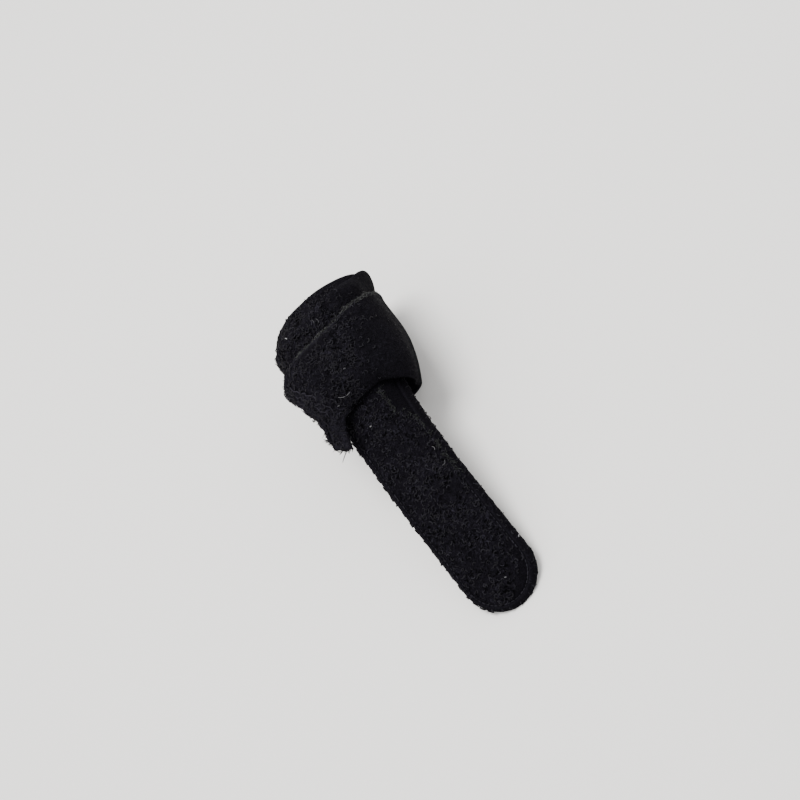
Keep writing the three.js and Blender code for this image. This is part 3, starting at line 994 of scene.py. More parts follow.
def tongue_curl(x, y):
    """How far the right edge is curled down, past a fold that runs out to the edge."""
    past = (x - TONGUE_MOUTH) / TONGUE_CURL_LENGTH
    rise = ease((x - TONGUE_MOUTH + TONGUE_CURL_LEAD) / TONGUE_CURL_LEAD)
    fold = mix(TONGUE_CURL_ACROSS, TONGUE_WIDTH / 2 - TONGUE_CURL_RIM, clamp01(past))
    return TONGUE_CURL * rise * (1 - ease(past)) * ease((y - fold) / (TONGUE_WIDTH / 2 - fold))


def tongue_at(x, y, off):
    """A point that stands off the tongue's middle surface."""
    return Vector((x, y * tongue_taper(x) + tongue_shift(x), tongue_height(x) - tongue_curl(x, y) + off))


def smooth_stretch(x, y):
    """1 on the smooth cloth of the curled edge, 0 on the pile."""
    across = row_mix(SMOOTH_FROM, "x", x, "across")
    return ease((y - across) / 0.5) * (1 - ease((x - SMOOTH_END) / 2))


def rim_width(x, y):
    """How far in from the seam the smooth rim reaches."""
    return TIP_RIM_WIDTH * ease((x - TIP_RIM_START) / 8) * ease((y + 3) / 6)


def tongue_outline(inset):
    """The outline moved in by an inset: left side, round end, right side and the head's two corners."""
    half = TONGUE_WIDTH / 2 - inset
    centre = TONGUE_END - TONGUE_ROUND_LENGTH
    corner = min(max(TONGUE_HEAD_CORNER - inset, 0.5), half * 0.9)
    start = TONGUE_START + min(inset, TONGUE_HEAD_SLOPE) + corner

    def side(first, last, y):
        return [(mix(first, last, i / TONGUE_SIDE_STEPS), y) for i in range(TONGUE_SIDE_STEPS)]

    def arc(x, y, length, height, first, sweep, steps, more=0):
        turns = [rad(first + sweep * i / steps) for i in range(steps + more)]
        return [(x + length * math.cos(turn), y + height * math.sin(turn)) for turn in turns]

    return (
        side(start, centre, -half)
        + arc(centre, 0, TONGUE_ROUND_LENGTH - inset, half, -90, 180, TONGUE_ROUND_STEPS)
        + side(centre, start, half)
        + arc(start, half - corner, corner, corner, 90, 90, TONGUE_CORNER_STEPS, 1)
        + arc(start, corner - half, corner, corner, 180, 90, TONGUE_CORNER_STEPS)
    )


def seam_inset(y):
    """The seam lies further in on the right than on the left."""
    return SEAM_INSET + SEAM_LEAN * max(-1.0, min(1.0, 2 * y / TONGUE_WIDTH))


def tongue_half(inset, y):
    """Half thickness at an inset, with the sewn seam's groove and the small ridges beside it."""
    off = inset - seam_inset(y)
    half = row_mix(TONGUE_SECTION, "inset", inset, "half") * TONGUE_THICKNESS / 2
    half += sum(ridge["height"] * bell(off - ridge["off"], ridge["width"]) for ridge in SEAM_RIDGES)
    return half - GROOVE_DEPTH * bell(off, GROOVE_WIDTH)


def tongue_insets():
    """Insets of the skin's rings, close together at the rim and the seam."""
    insets = [0.0, 0.02, 0.06, 0.12, 0.2, 0.3, 0.42, 0.56, 0.74, 0.9]
    while insets[-1] < 2.5:
        insets.append(insets[-1] + 0.1)
    insets.append(2.75)
    while insets[-1] < 8.2:
        insets.append(insets[-1] + 0.42)
    return insets


def tongue_place(x, y, rise):
    """A point that stands off the tongue's upper face."""
    return tongue_at(x, y, tongue_half(TONGUE_WIDTH / 2 - abs(y), y) + rise)


def tongue_point(x, y, side, inset, slack):
    """A point of the tongue's skin, rippled as worn padding is."""
    rippled = PAD_RIPPLE * slack * waves((x, y, side * 3), TONGUE_WAVES) * ease(inset / 2.5)
    height = tongue_half(inset, y) + rippled
    wander = RIM_WANDER * ripple((x, y, 0), 2.4, 21) * (1 - ease(inset / 1.2))
    from_centre = max(1e-6, math.hypot(x - RIM_CENTRE, y))
    along = (x - RIM_CENTRE) / from_centre if x > RIM_ROUND_START else 0
    across = math.copysign(1, y) if x < RIM_ROUND_START + 2 else y / 9
    return tongue_at(x, y, side * height) + Vector((along, across, 0)) * wander


def tongue_looks(x, y, side, inset):
    """A painted highlight on the ridge beside the seam, how much nap it shows, its lack being painted shade
    in the seam's groove and on the curled edge, and how thick its pile stands.
    """
    off = inset - seam_inset(y)
    pile = clump((x, y, 4 * side), TONGUE_TUFT_SEED)
    nap = mix(THIN_NAP, 1.0, clamp01(pile))
    shares = {
        "groove": bell(off, RIM_BLEND),
        "rim": 1 - ease((off + RIM_START - rim_width(x, y)) / RIM_START),
        "smooth stretch": smooth_stretch(x, y) * (side > 0),
        "under the strap": ease((PILE_START - x) / 3) * (1 if side > 0 else 0.4),
    }
    for row in TONGUE_THIN:
        nap *= mix(1.0, row["nap"], shares[row["where"]])
        pile *= mix(1.0, row["pile"], shares[row["where"]])
    return SEAM_RIDGE_HIGHLIGHT * bell(off + RIM_START, RIM_BLEND), nap, pile


def tongue_skin(slack):
    """Points of the tongue's skin with their painted highlight, nap and pile, and its faces."""
    insets = tongue_insets()
    rings = [(inset, 1) for inset in reversed(insets)] + [(inset, -1) for inset in insets[1:]]
    rows = [(lay(tongue_point(x, y, side, inset, slack)), *tongue_looks(x, y, side, inset))
            for inset, side in rings for x, y in tongue_outline(inset)]
    size = len(tongue_outline(0))
    faces = ring_faces(len(rings), size)
    for first in (0, (len(rings) - 1) * size):
        for i in range(-TONGUE_CORNER_STEPS, TONGUE_MIRROR // 2):
            corners = (i % size, (i + 1) % size, (TONGUE_MIRROR - i - 1) % size, (TONGUE_MIRROR - i) % size)
            unique = list(dict.fromkeys(corners))
            if len(unique) >= 3:
                faces.append(tuple(first + corner for corner in unique))
    return rows, faces


class SPLINT_OT_tongue(bpy.types.Operator):
    """Makes the padded tongue with its sewn rim"""

    bl_idname = "splint.tongue"
    bl_label = "Make tongue"

    def execute(self, context):
        look = context.scene.splint_cloth
        cloth = cloth_material("Tongue brushed cloth", look.tongue_colour, look.fibre_colour)
        piece = skin_piece("tongue_pad", *tongue_skin(look.slack / MM), cloth)
        carry(piece, "tongue_cloth", "tongue")
        return {"FINISHED"}


# Hook tab

TAB_RINGS = 29
TAB_STEP = 1.5
TAB_EDGE = 0.1
TAB_SHARE = 0.6
TAB_COLUMNS = 20
TAB_INNER = 0.45
HOOK_ROW_STEP = 2.4
HOOK_ROWS_SPAN = (2, 41)
HOOK_COLUMNS = 12
HOOK_COLUMNS_SPAN = (0.13, 0.67)
HOOK_RADIUS = 0.00013
HOOK_SWEEP = 250
HOOK_THREAD = 0.00005


def tab_band(angle, along, share):
    """A point of the tab: share is 0 at its inner face's deepest and 1 at its outer face."""
    height = layer_out(angle) - TAB_CLEARANCE - TAB_THICKNESS * (1 - share) - draw_in(angle, along)
    x = mix(distal_at(angle), proximal_at(angle), along)
    return lay(winding_point(cut_back(angle, along), x, height))


def make_hooks():
    """Rows of small hooks on the tape's inner face, placed on guide points."""
    guides = []
    first, last = HOOK_ROWS_SPAN
    angle = TAB_START_ANGLE + first
    while angle < TAB_START_ANGLE + last:
        for i in range(HOOK_COLUMNS + 1):
            along = mix(*HOOK_COLUMNS_SPAN, i / HOOK_COLUMNS)
            out_y, out_z = winding_frame(cut_back(angle, along), STRAP_MIDDLE)[2:]
            turn = aim(lay_direction((0, -out_y, -out_z)), lay_direction((1, 0, 0)))
            guides.append((tab_band(angle, along, TAB_INNER), turn, 1.0, 0.5))
        angle += HOOK_ROW_STEP
    hook = fibre_material("Hook fibre", (0.01, 0.01, 0.012, 1), (0.05, 0.05, 0.055, 1))
    return arcs_on_guides("tape_hooks", guides, HOOK_RADIUS, HOOK_SWEEP, HOOK_THREAD, hook)


class SPLINT_OT_hook_tab(bpy.types.Operator):
    """Makes the hook tape under the strap's end, with its rows of hooks"""

    bl_idname = "splint.hook_tab"
    bl_label = "Make hook tab"

    def execute(self, context):
        tape = tape_material(context.scene.splint_cloth.tape_colour)
        alongs = [TAB_EDGE + TAB_SHARE * i / TAB_COLUMNS for i in range(TAB_COLUMNS + 1)]
        section = [(along, 1.0) for along in alongs] + [(along, TAB_INNER) for along in reversed(alongs)]
        angles = [TAB_START_ANGLE + TAB_STEP * i for i in range(TAB_RINGS)]
        points = [tab_band(angle, along, share) for angle in angles for along, share in section]
        piece = new_piece("hook_tape", points, band_faces(TAB_RINGS, len(section)), tape)
        carry(piece, "hook_tape", "hook_tab")
        carry(make_hooks(), "hook_tape")
        return {"FINISHED"}


# Geometry Nodes

def aim(up, forward):
    """Euler angles that turn z to up and x as near to forward as it goes."""
    up = Vector(up).normalized()
    side = up.cross(Vector(forward))
    side = side.normalized() if side.length > 1e-6 else up.orthogonal().normalized()
    return Matrix((side.cross(up), side, up)).transposed().to_euler()


def named_value(tree, name, kind="FLOAT"):
    return result(tree, "GeometryNodeInputNamedAttribute", {"Name": name}, "Attribute", data_type=kind)


def random_value(tree, kind, inputs, output=0):
    return result(tree, "FunctionNodeRandomValue", inputs, output, data_type=kind)


def fibre_arc(tree, source, steps):
    """A standing arc of fibre, in a number of steps."""
    sweep = source["Sweep"]
    arc = result(tree, "GeometryNodeCurveArc", {
        "Resolution": steps,
        "Radius": source["Arc radius"],
        "Start Angle": math_of(tree, "MULTIPLY_ADD", sweep, -0.5, math.pi / 2),
        "Sweep Angle": sweep,
    }, mode="RADIUS")
    yarn = {"Resolution": 3, "Radius": source["Fibre radius"]}
    ring = result(tree, "GeometryNodeCurvePrimitiveCircle", yarn, mode="RADIUS")
    tube = result(tree, "GeometryNodeCurveToMesh", {"Curve": arc, "Profile Curve": ring, "Fill Caps": True})
    return result(tree, "GeometryNodeTransform", {"Geometry": tube, "Rotation": (math.pi / 2, 0, 0)})


def fibre_tree(name, more):
    """A tree for arcs of fibre, with its own inputs added to those that all have."""
    inputs = {"Geometry": "Geometry", "Arc radius": "Float", "Sweep": "Float", "Fibre radius": "Float"}
    inputs.update(more)
    inputs["Material"] = "Material"
    tree = new_tree(name, "GeometryNodeTree", inputs, {"Geometry": "Geometry"})
    return tree, node(tree, "NodeGroupInput").outputs


def close_tree(tree, source, geometry):
    """Realizes the instances and sets the material."""
    real = result(tree, "GeometryNodeRealizeInstances", {"Geometry": geometry})
    smooth = result(tree, "GeometryNodeSetShadeSmooth", {"Geometry": real})
    painted = result(tree, "GeometryNodeSetMaterial", {"Geometry": smooth, "Material": source["Material"]})
    node(tree, "NodeGroupOutput", {"Geometry": painted})
    return tree


def arc_on_points_tree():
    """An arc of fibre on each guide point."""
    name = "Arc on points"
    if name in bpy.data.node_groups:
        return bpy.data.node_groups[name]
    tree, source = fibre_tree(name, {})
    turn = named_value(tree, "turn", "FLOAT_VECTOR")
    return close_tree(tree, source, result(tree, "GeometryNodeInstanceOnPoints", {
        "Points": result(tree, "GeometryNodeMeshToPoints", {"Mesh": source["Geometry"]}),
        "Instance": fibre_arc(tree, source, 6),
        "Rotation": result(tree, "FunctionNodeEulerToRotation", {"Euler": turn}),
        "Scale": named_value(tree, "size"),
    }))


def arcs_on_guides(name, guides, radius, sweep, thread, material):
    """Arcs of fibre on guide points, each guide given as its place, turn, size and tone."""
    points, turns, sizes, tones = zip(*guides)
    mesh = bpy.data.meshes.new(name)
    mesh.from_pydata([tuple(p) for p in points], [], [])
    flat = [value for turn in turns for value in turn]
    mesh.attributes.new("turn", "FLOAT_VECTOR", "POINT").data.foreach_set("vector", flat)
    add_number(mesh, "size", sizes)
    add_number(mesh, "tone", tones)
    values = {"Arc radius": radius, "Sweep": rad(sweep), "Fibre radius": thread, "Material": material}
    return run_tree(link_object(name, mesh), arc_on_points_tree(), values)


def pile_tree():
    """Loops of pile strewn over a surface by its pile attribute, each with its own turn, size and tone."""
    name = "Loop pile"
    if name in bpy.data.node_groups:
        return bpy.data.node_groups[name]
    numbers = dict.fromkeys(("Density", "Least lean", "Most lean", "Stand"), "Float")
    tree, source = fibre_tree(name, {**numbers, "Seed": "Int"})
    seed = source["Seed"]
    strewn = node(tree, "GeometryNodeDistributePointsOnFaces", {
        "Mesh": source["Geometry"],
        "Density": math_of(tree, "MULTIPLY", named_value(tree, "pile"), source["Density"]),
        "Seed": seed,
    }, distribute_method="RANDOM").outputs
    stand = random_value(tree, "FLOAT", {2: 0.0, 3: source["Stand"], "Seed": seed}, 1)
    raised = result(tree, "ShaderNodeVectorMath", {0: strewn["Normal"], "Scale": stand}, operation="SCALE")
    low = result(tree, "ShaderNodeCombineXYZ", {"X": source["Least lean"], "Y": -0.45})
    high = result(tree, "ShaderNodeCombineXYZ", {"X": source["Most lean"], "Y": 0.45, "Z": 2 * math.pi})
    spin = random_value(tree, "FLOAT_VECTOR", {0: low, 1: high, "Seed": seed})
    lean = result(tree, "FunctionNodeEulerToRotation", {"Euler": spin})
    both = {"Rotation": strewn["Rotation"], "Rotate By": lean}
    placed = result(tree, "GeometryNodeInstanceOnPoints", {
        "Points": result(tree, "GeometryNodeSetPosition", {"Geometry": strewn["Points"], "Offset": raised}),
        "Instance": fibre_arc(tree, source, 7),
        "Rotation": result(tree, "FunctionNodeRotateRotation", both, rotation_space="LOCAL"),
        "Scale": random_value(tree, "FLOAT_VECTOR", {0: (0.6, 0.7, 0.5), 1: (1.35, 1.15, 1.25)}),
    })
    tone = math_of(tree, "POWER", random_value(tree, "FLOAT", {}, 1), 2.0)
    toned = result(tree, "GeometryNodeStoreNamedAttribute", {
        "Geometry": placed,
        "Name": "tone",
        "Value": tone,
    }, data_type="FLOAT", domain="INSTANCE")
    return close_tree(tree, source, toned)


# The kinds of fibre strewn over the cloth. radius and stand are shares of the loop radius, yarn is a share
# of the yarn's radius, sweep is in degrees, lean is the least lean in radians, light is a share of the fibre
# colour and seed is added to the piece's.
PILE_KINDS = table(
    "kind material radius sweep yarn density lean stand seed light",
    ("_pile", "Pile yarn", 1.0, 195, 1.0, 1.0, 0.75, 0.5, 0, 0.52),
    ("_fuzz", "Pile fibre", 1.5, 110, 0.5, 0.2, 0.9, 0.2, 11, 1.1),
)
MOST_LEAN = 1.5


class SPLINT_OT_pile(bpy.types.Operator):
    """Strews the loop pile over the strap and the tongue"""

    bl_idname = "splint.pile"
    bl_label = "Make pile"

    def execute(self, context):
        look = context.scene.splint_cloth
        pile = context.scene.splint_pile
        fibres = {}
        for row in PILE_KINDS:
            light = rgba(look.fibre_colour, row["light"])
            fibres[row["kind"]] = fibre_material(row["material"], rgba(look.strap_colour), light)
        for ground, slot, density, seed in (
            ("strap_cloth", "strap_cloth", pile.strap_density, 3),
            ("tongue_pad", "tongue_cloth", pile.tongue_density, 8),
        ):
            for row in PILE_KINDS:
                name = ground.split("_")[0] + row["kind"]
                piece = link_object(name, bpy.data.objects[ground].data.copy())
                run_tree(piece, pile_tree(), {
                    "Arc radius": pile.loop_radius * row["radius"],
                    "Sweep": rad(row["sweep"]),
                    "Fibre radius": pile.fibre_radius * row["yarn"],
                    "Density": density * row["density"],
                    "Least lean": row["lean"],
                    "Most lean": MOST_LEAN,
                    "Stand": pile.loop_radius * row["stand"],
                    "Seed": seed + row["seed"],
                    "Material": fibres[row["kind"]],
                })
                keep_off_floor(piece)
                carry(piece, slot)
        return {"FINISHED"}


# Stitches

# A seam stitch is an arc: its radius as a share of the spacing, and its sweep in degrees.
SEAM_ARC = 0.42
SEAM_SWEEP = 95
# The stitches start a little way under the strap's mouth.
SEWN_FROM = 24
# How far in from the edge an edge stitch lies at each of its points
EDGE_REACH = (0.6, 0.42, 0.26, 0.12, 0.03)
# The edge stitches vary in size by STITCH_SIZES and lean by up to STITCH_LEAN. They are thin, except further
# left than FAT_FROM of the tongue's width.
STITCH_SIZES = (0.6, 1.1)
STITCH_LEAN = 0.9
THIN_STITCH = 0.5
FAT_FROM = 0.3


def outline_walk(spacing, first, jitter, seed):
    """Places along the tongue's outline, as (x, y, direction), evenly spaced but for some jitter."""
    chance = random.Random(seed)
    path = tongue_outline(0.0)[: TONGUE_MIRROR + 1]
    wanted = first
    walked = 0.0
    for a, b in zip(path, path[1:]):
        step = math.dist(a, b)
        while wanted <= walked + step:
            share = (wanted - walked) / step
            x = mix(a[0], b[0], share)
            if x >= SEWN_FROM:
                yield x, mix(a[1], b[1], share), ((b[0] - a[0]) / step, (b[1] - a[1]) / step)
            wanted += spacing * (1 + jitter * chance.uniform(-1, 1))
        walked += step


def edge_stitches(settings, thread):
    """Thread wound over the tongue's very edge: fat turns on the left, thin ones elsewhere."""
    chance = random.Random(5)
    threads = []
    for x, y, ahead in outline_walk(settings.edge_spacing / MM, 1.0, 0.35, 6):
        fat = y < -TONGUE_WIDTH * FAT_FROM
        radius = settings.edge_thread / MM * chance.uniform(*STITCH_SIZES) * (1.0 if fat else THIN_STITCH)
        lean = chance.uniform(-STITCH_LEAN, STITCH_LEAN)
        route = []
        for side in (1, -1):
            for inset in EDGE_REACH[::side]:
                out_by = radius * 0.7 * (1 - ease(inset / 0.5)) - inset
                along = lean * (1 - inset) * side
                place_x = x + ahead[1] * out_by + ahead[0] * along
                place_y = y - ahead[0] * out_by + ahead[1] * along
                route.append(tongue_at(place_x, place_y, side * (tongue_half(inset, y) + radius * 0.2)))
        threads.append((route, radius, 6, chance.uniform(0, 0.35)))
    return thread_piece("tongue_edge_stitches", threads, thread)


def seam_stitches(settings, thread):
    """Short stitches in the seam's groove, on both faces."""
    chance = random.Random(12)
    guides = []
    spacing = settings.seam_spacing / MM
    drop = SEAM_ARC * spacing * math.cos(rad(SEAM_SWEEP / 2))
    for side in (1, -1):
        for x, y, ahead in outline_walk(spacing, 0.4, 0.12, 9):
            if side > 0 and y > 0 and x < SMOOTH_END:
                continue
            inset = seam_inset(y)
            x -= ahead[1] * inset
            y += ahead[0] * inset
            height = tongue_half(inset, y) - settings.seam_thread / MM * 0.2 - drop
            turn = aim(lay_direction((0, 0, side)), lay_direction((*ahead, 0)))
            place = lay(tongue_at(x, y, side * height))
            guides.append((place, turn, chance.uniform(0.8, 1.15), chance.uniform(0.15, 0.9)))
    radius = settings.seam_spacing * SEAM_ARC
    return arcs_on_guides("tongue_seam_stitches", guides, radius, SEAM_SWEEP, settings.seam_thread, thread)


class SPLINT_OT_stitches(bpy.types.Operator):
    """Sews the tongue's rim: edge binding and the seam inside it"""

    bl_idname = "splint.stitches"
    bl_label = "Make stitches"

    def execute(self, context):
        look = context.scene.splint_cloth
        settings = context.scene.splint_stitch
        thread = fibre_material("Black thread", rgba(look.tongue_colour), rgba(look.fibre_colour))
        for piece in (edge_stitches(settings, thread), seam_stitches(settings, thread)):
            keep_off_floor(piece)
            carry(piece, "tongue_cloth")
        return {"FINISHED"}


# Frayed cut end and fuzz

CUT_THREADS = 230
THREAD_STEPS = 4
# A loose thread's length and radius in millimetres, and how much longer a few of them are
FRAY_LENGTH = (0.35, 1.1)
FRAY_RADIUS = (0.03, 0.07)
LONG_FRAY = 1.3
LONG_FRAY_CHANCE = 0.06
# The cut's threads stand thicker and longer in tufts, at these shares of the strap's width.
CUT_TUFTS = (0.8, 0.97)
TUFT_CHANCE = 0.4
TUFT_SPREAD = 0.015
TUFT_HALF = 0.03
TUFT_GROWTH = 1.9
# How far back from the cut the rows of loose yarn lie, and the yarn's radius, in millimetres
YARN_ROWS = (0.2, 0.75, 1.35, 2.0)
YARN_RADIUS = (0.09, 0.14)
# Where a row starts, how long its runs and breaks are and where it ends, as shares of the strap's width
YARN_START = (0.13, 0.2)
YARN_RUN = (0.1, 0.32)
YARN_BREAK = (0.01, 0.06)
YARN_END = 0.97
YARN_STEPS = 45
# How many tufts of fuzz lie along the strap's edge and the tongue's fold, and between which angles or places
EDGE_TUFTS = 240
EDGE_TUFT_SPAN = (722, 853)
FOLD_TUFTS = 80
FOLD_TUFT_SPAN = (29, 58)
# How bright the fuzz is beside a fibre that catches light, in red, green and blue
EDGE_LIGHT = (3.0, 3.15, 3.15)
FOLD_LIGHT = (1.6, 1.75, 1.75)


def random_vector(chance, least_z=-1):
    return Vector((chance.uniform(-1, 1), chance.uniform(-1, 1), chance.uniform(least_z, 1)))


def cut_edge_spots(chance):
    """Places on the strap's cut end, with the way that a loose thread leaves it."""
    spots = []
    for _ in range(CUT_THREADS):
        along = chance.uniform(0.02, 1.0)
        if chance.random() < TUFT_CHANCE:
            along = chance.choice(CUT_TUFTS) + chance.gauss(0, TUFT_SPREAD)
        x = at_end(along)
        turned = cut_angle(along)
        height = STRAP_THICKNESS * chance.uniform(0.1, 0.95) - draw_in(STRAP_END_ANGLE, along)
        height += layer_out(STRAP_END_ANGLE)
        ahead = winding_point(turned + 2, x, height) - winding_point(turned, x, height)
        spots.append((winding_point(turned - 0.6, x, height), ahead.normalized(), along))
    return spots


def yarn_route(row, first, last):
    """A run of loose yarn beside the cut, between two shares of the strap's width."""
    route = []
    steps = max(3, int((last - first) * YARN_STEPS))
    for i in range(steps + 1):
        along = mix(first, last, i / steps)
        x = at_end(along)
        place = (along * CUT_WAVE_LENGTH, row, 0)
        back = (row + 0.3 * ripple(place, 1.7, 14)) / MM_PER_DEGREE
        angle = STRAP_END_ANGLE - back
        if x > proximal_at(angle) - 0.5:
            break
        share = (x - distal_at(angle)) / (proximal_at(angle) - distal_at(angle))
        height = layer_out(angle) + STRAP_THICKNESS + 0.04 - draw_in(angle, share)
        route.append(winding_point(cut_angle(along) - back, x, height + 0.05 * ripple(place, 0.9, 3)))
    return route


def cut_yarns(chance):
    """Yarns that have come loose along the cut, in broken runs side by side."""
    threads = []
    for row in YARN_ROWS:
        along = chance.uniform(*YARN_START)
        while along < 0.95:
            end = min(YARN_END, along + chance.uniform(*YARN_RUN))
            route = yarn_route(row, along, end)
            if len(route) > 2:
                threads.append((route, chance.uniform(*YARN_RADIUS), 5, chance.uniform(0.05, 0.3)))
            along = end + chance.uniform(*YARN_BREAK)
    return threads


def frayed_end(material):
    """Loose threads and yarns along the cut end."""
    chance = random.Random(31)
    threads = cut_yarns(random.Random(36))
    for place, ahead, along in cut_edge_spots(random.Random(17)):
        in_tuft = min(abs(along - tuft) for tuft in CUT_TUFTS) < TUFT_HALF
        growth = TUFT_GROWTH if in_tuft else 1.0
        length = chance.uniform(*FRAY_LENGTH)
        length = (length + (LONG_FRAY if chance.random() < LONG_FRAY_CHANCE else 0)) * growth
        bend = random_vector(chance) * 0.7
        way = (ahead + bend * 0.6).normalized()
        route = [place]
        for _ in range(THREAD_STEPS):
            route.append(route[-1] + way * length / THREAD_STEPS)
            way = (way + bend * 0.28).normalized()
        radius = chance.uniform(*FRAY_RADIUS) * growth
        threads.append((route, radius, 3, chance.random() ** 2 * (0.35 if in_tuft else 1.0)))
    return thread_piece("strap_frayed_end", threads, material)


def short_fibres(name, spots, thin, thick, material, seed):
    """Short bent fibres, each given as its start and its tip, in one piece."""
    chance = random.Random(seed)
    threads = []
    for start, tip in spots:
        middle = (start + tip) / 2 + random_vector(chance, 0) * (tip - start).length * 0.3
        threads.append(([start, middle, tip], chance.uniform(thin, thick), 3, chance.random() ** 1.5))
    return thread_piece(name, threads, material)


def edge_fuzz(material):
    """Tufts of short pale fibres along the outer turn's distal edge."""
    chance = random.Random(44)
    spots = []
    for _ in range(EDGE_TUFTS):
        tuft = mix(*EDGE_TUFT_SPAN, chance.random() ** 0.75)
        offset = chance.gauss(0.3, 0.25)
        reach = chance.uniform(0.4, 1.0)
        for _ in range(chance.randint(4, 9)):
            angle = tuft + chance.gauss(0, 0.7)
            turned = cut_back(angle, 0.0)
            x = distal_at(angle) + offset + chance.gauss(0, 0.12)
            out_by = layer_out(angle) + STRAP_THICKNESS * chance.uniform(0.8, 1.0) - draw_in(angle, 0.0)
            tip_x = x - chance.uniform(-0.3, 0.45) * reach
            tip_out = out_by + chance.uniform(0.0, 0.32) * reach
            tip = winding_point(turned + chance.uniform(-2.2, 2.2) * reach, tip_x, tip_out)
            spots.append((winding_point(turned, x, out_by), tip))
    return short_fibres("strap_edge_fuzz", spots, 0.05, 0.1, material, 45)


def fold_fuzz(material):
    """Tufts of short pale fibres where the tongue's pile ends at its smooth curled edge, and on down the
    seam's ridge."""
    chance = random.Random(52)
    spots = []
    for _ in range(FOLD_TUFTS):
        x = mix(*FOLD_TUFT_SPAN, chance.random() ** 1.25)
        y = row_mix(SMOOTH_FROM, "x", x, "across") + chance.gauss(-0.1, 0.42)
        for _ in range(chance.randint(3, 7)):
            foot_x = x + chance.gauss(0, 0.15)
            foot_y = y + chance.gauss(0, 0.15)
            tip_x = foot_x + chance.uniform(-0.6, 0.6)
            tip_y = foot_y + chance.uniform(-0.5, 0.5)
            tip = tongue_place(tip_x, tip_y, chance.uniform(0.1, 0.4))
            spots.append((tongue_place(foot_x, foot_y, 0.0), tip))
    return short_fibres("tongue_fold_fuzz", spots, 0.05, 0.11, material, 53)


class SPLINT_OT_frays(bpy.types.Operator):
    """Frays the strap's cut end and fuzzes its edge"""

    bl_idname = "splint.frays"
    bl_label = "Make frays"

    def execute(self, context):
        look = context.scene.splint_cloth
        grey = look.fibre_colour[1]
        pale = fibre_material("Edge fibre", rgba((grey,) * 3, 0.4), rgba(EDGE_LIGHT, grey))
        dull = fibre_material("Fold fibre", rgba((grey,) * 3, 0.3), rgba(FOLD_LIGHT, grey))
        loose = fibre_material("Loose thread", rgba(look.strap_colour, 0.5), rgba(look.fibre_colour, 2.4))
        pieces = [frayed_end(loose), edge_fuzz(pale)]
        for piece in pieces:
            carry(piece, "strap_cloth")
        carry(fold_fuzz(dull), "tongue_cloth")
        strap_arc_length() * MM
        return {"FINISHED"}


# Lint

def cloth_surface(name):
    mesh = bpy.data.objects[name].data
    points = [vertex.co.copy() for vertex in mesh.vertices]
    return BVHTree.FromPolygons(points, [tuple(face.vertices) for face in mesh.polygons])


def nearest_hit(surfaces, eye, ray):
    """The place and normal where a ray first meets the cloth."""
    hits = [hit for hit in (surface.ray_cast(eye, ray) for surface in surfaces) if hit[0] is not None]
    if not hits:
        raise RuntimeError("a lint speck misses the cloth")
    return min(hits, key=lambda hit: hit[3])[:2]


class SPLINT_OT_lint(bpy.types.Operator):
    """Drops a few specks of lint and pale fibres on the cloth"""

    bl_idname = "splint.lint"
    bl_label = "Make lint"

    def execute(self, context):
        look = context.scene.splint_cloth
        surfaces = [cloth_surface(name) for name in ("strap_cloth", "tongue_pad")]
        eye, right, up, _ = photo_camera()
        threads = []
        for row in LINT:
            place, normal = nearest_hit(surfaces, eye, camera_ray(row["across"], row["down"]))
            size = row["length"] * MM
            turn = rad(row["turn"])
            ahead = right * math.cos(turn) + up * math.sin(turn)
            ahead = (ahead - normal * ahead.dot(normal)).normalized()
            across = normal.cross(ahead)
            route = []
            for i in range(LINT_STEPS + 1):
                share = i / LINT_STEPS - 0.5
                bow = (0.25 - share * share) * 4 * row["bow"] * size
                route.append(place + ahead * size * share + across * bow + normal * LINT_STAND * MM)
            threads.append((route, row["thick"] / 2 * MM, 6, row["tone"]))
        pale = fibre_material("Lint fibre", rgba(look.fibre_colour, 0.5), rgba(look.lint_colour), 0.0)
        carry(thread_piece("lint", threads, pale, place=Vector), "strap_cloth")
        return {"FINISHED"}


# Stage

# The camera looks down at the tongue: tilted along the finger, moved round it to one side and rolled, by
# these angles in degrees, from a distance in metres.
CAMERA_TILT = 20.0
CAMERA_SIDE = 12.0
CAMERA_ROLL = 53.5
CAMERA_DISTANCE = 0.48
# Its focal length shows a millimetre as 4.25 pixels from 452 mm away. That and the worn origin's place in the
# picture are shares of the picture's side.
PICTURE_SIDE = 800
FOCAL = 4.25 * 452 / PICTURE_SIDE
AXIS_ACROSS = 320.3 / PICTURE_SIDE
AXIS_DOWN = 313.4 / PICTURE_SIDE
SENSOR = 36
CLIP_START = 0.01
# Where the lights aim and which way is up for them, and their places from the aim, in metres along the
# picture's right, up and back
LIGHTS_AIM = (0, 0, 0.01)
LIGHTS_UP = (0.1, 0.2, 1)
LIGHTS = table(
    "name right up back size share colour",
    ("key light", -0.42, 0.30, 0.42, 0.35, 1.0, (1, 0.985, 0.96)),
    ("fill light", 0.5, -0.1, 0.45, 0.6, 0.04, (0.95, 0.97, 1)),
)
SKY_COLOUR = (1.0, 0.99, 0.975, 1)
FLOOR_HALF = 2.5
FLOOR_DROP = 0.00002


def photo_camera():
    """The camera's place and its right, up and backward directions, with its axis at the worn origin."""
    side, tilt, roll = rad(CAMERA_SIDE), rad(CAMERA_TILT), rad(CAMERA_ROLL)
    along = lay_direction((1, 0, 0))
    face = lay_direction((0, math.sin(side), math.cos(side)))
    across = lay_direction((0, math.cos(side), -math.sin(side)))
    back = along * math.sin(tilt) + face * math.cos(tilt)
    flat = along * math.cos(tilt) - face * math.sin(tilt)
    right = flat * math.cos(roll) + across * math.sin(roll)
    up = across * math.cos(roll) - flat * math.sin(roll)
    return Vector(REST_SHIFT) * MM + back * CAMERA_DISTANCE, right, up, back


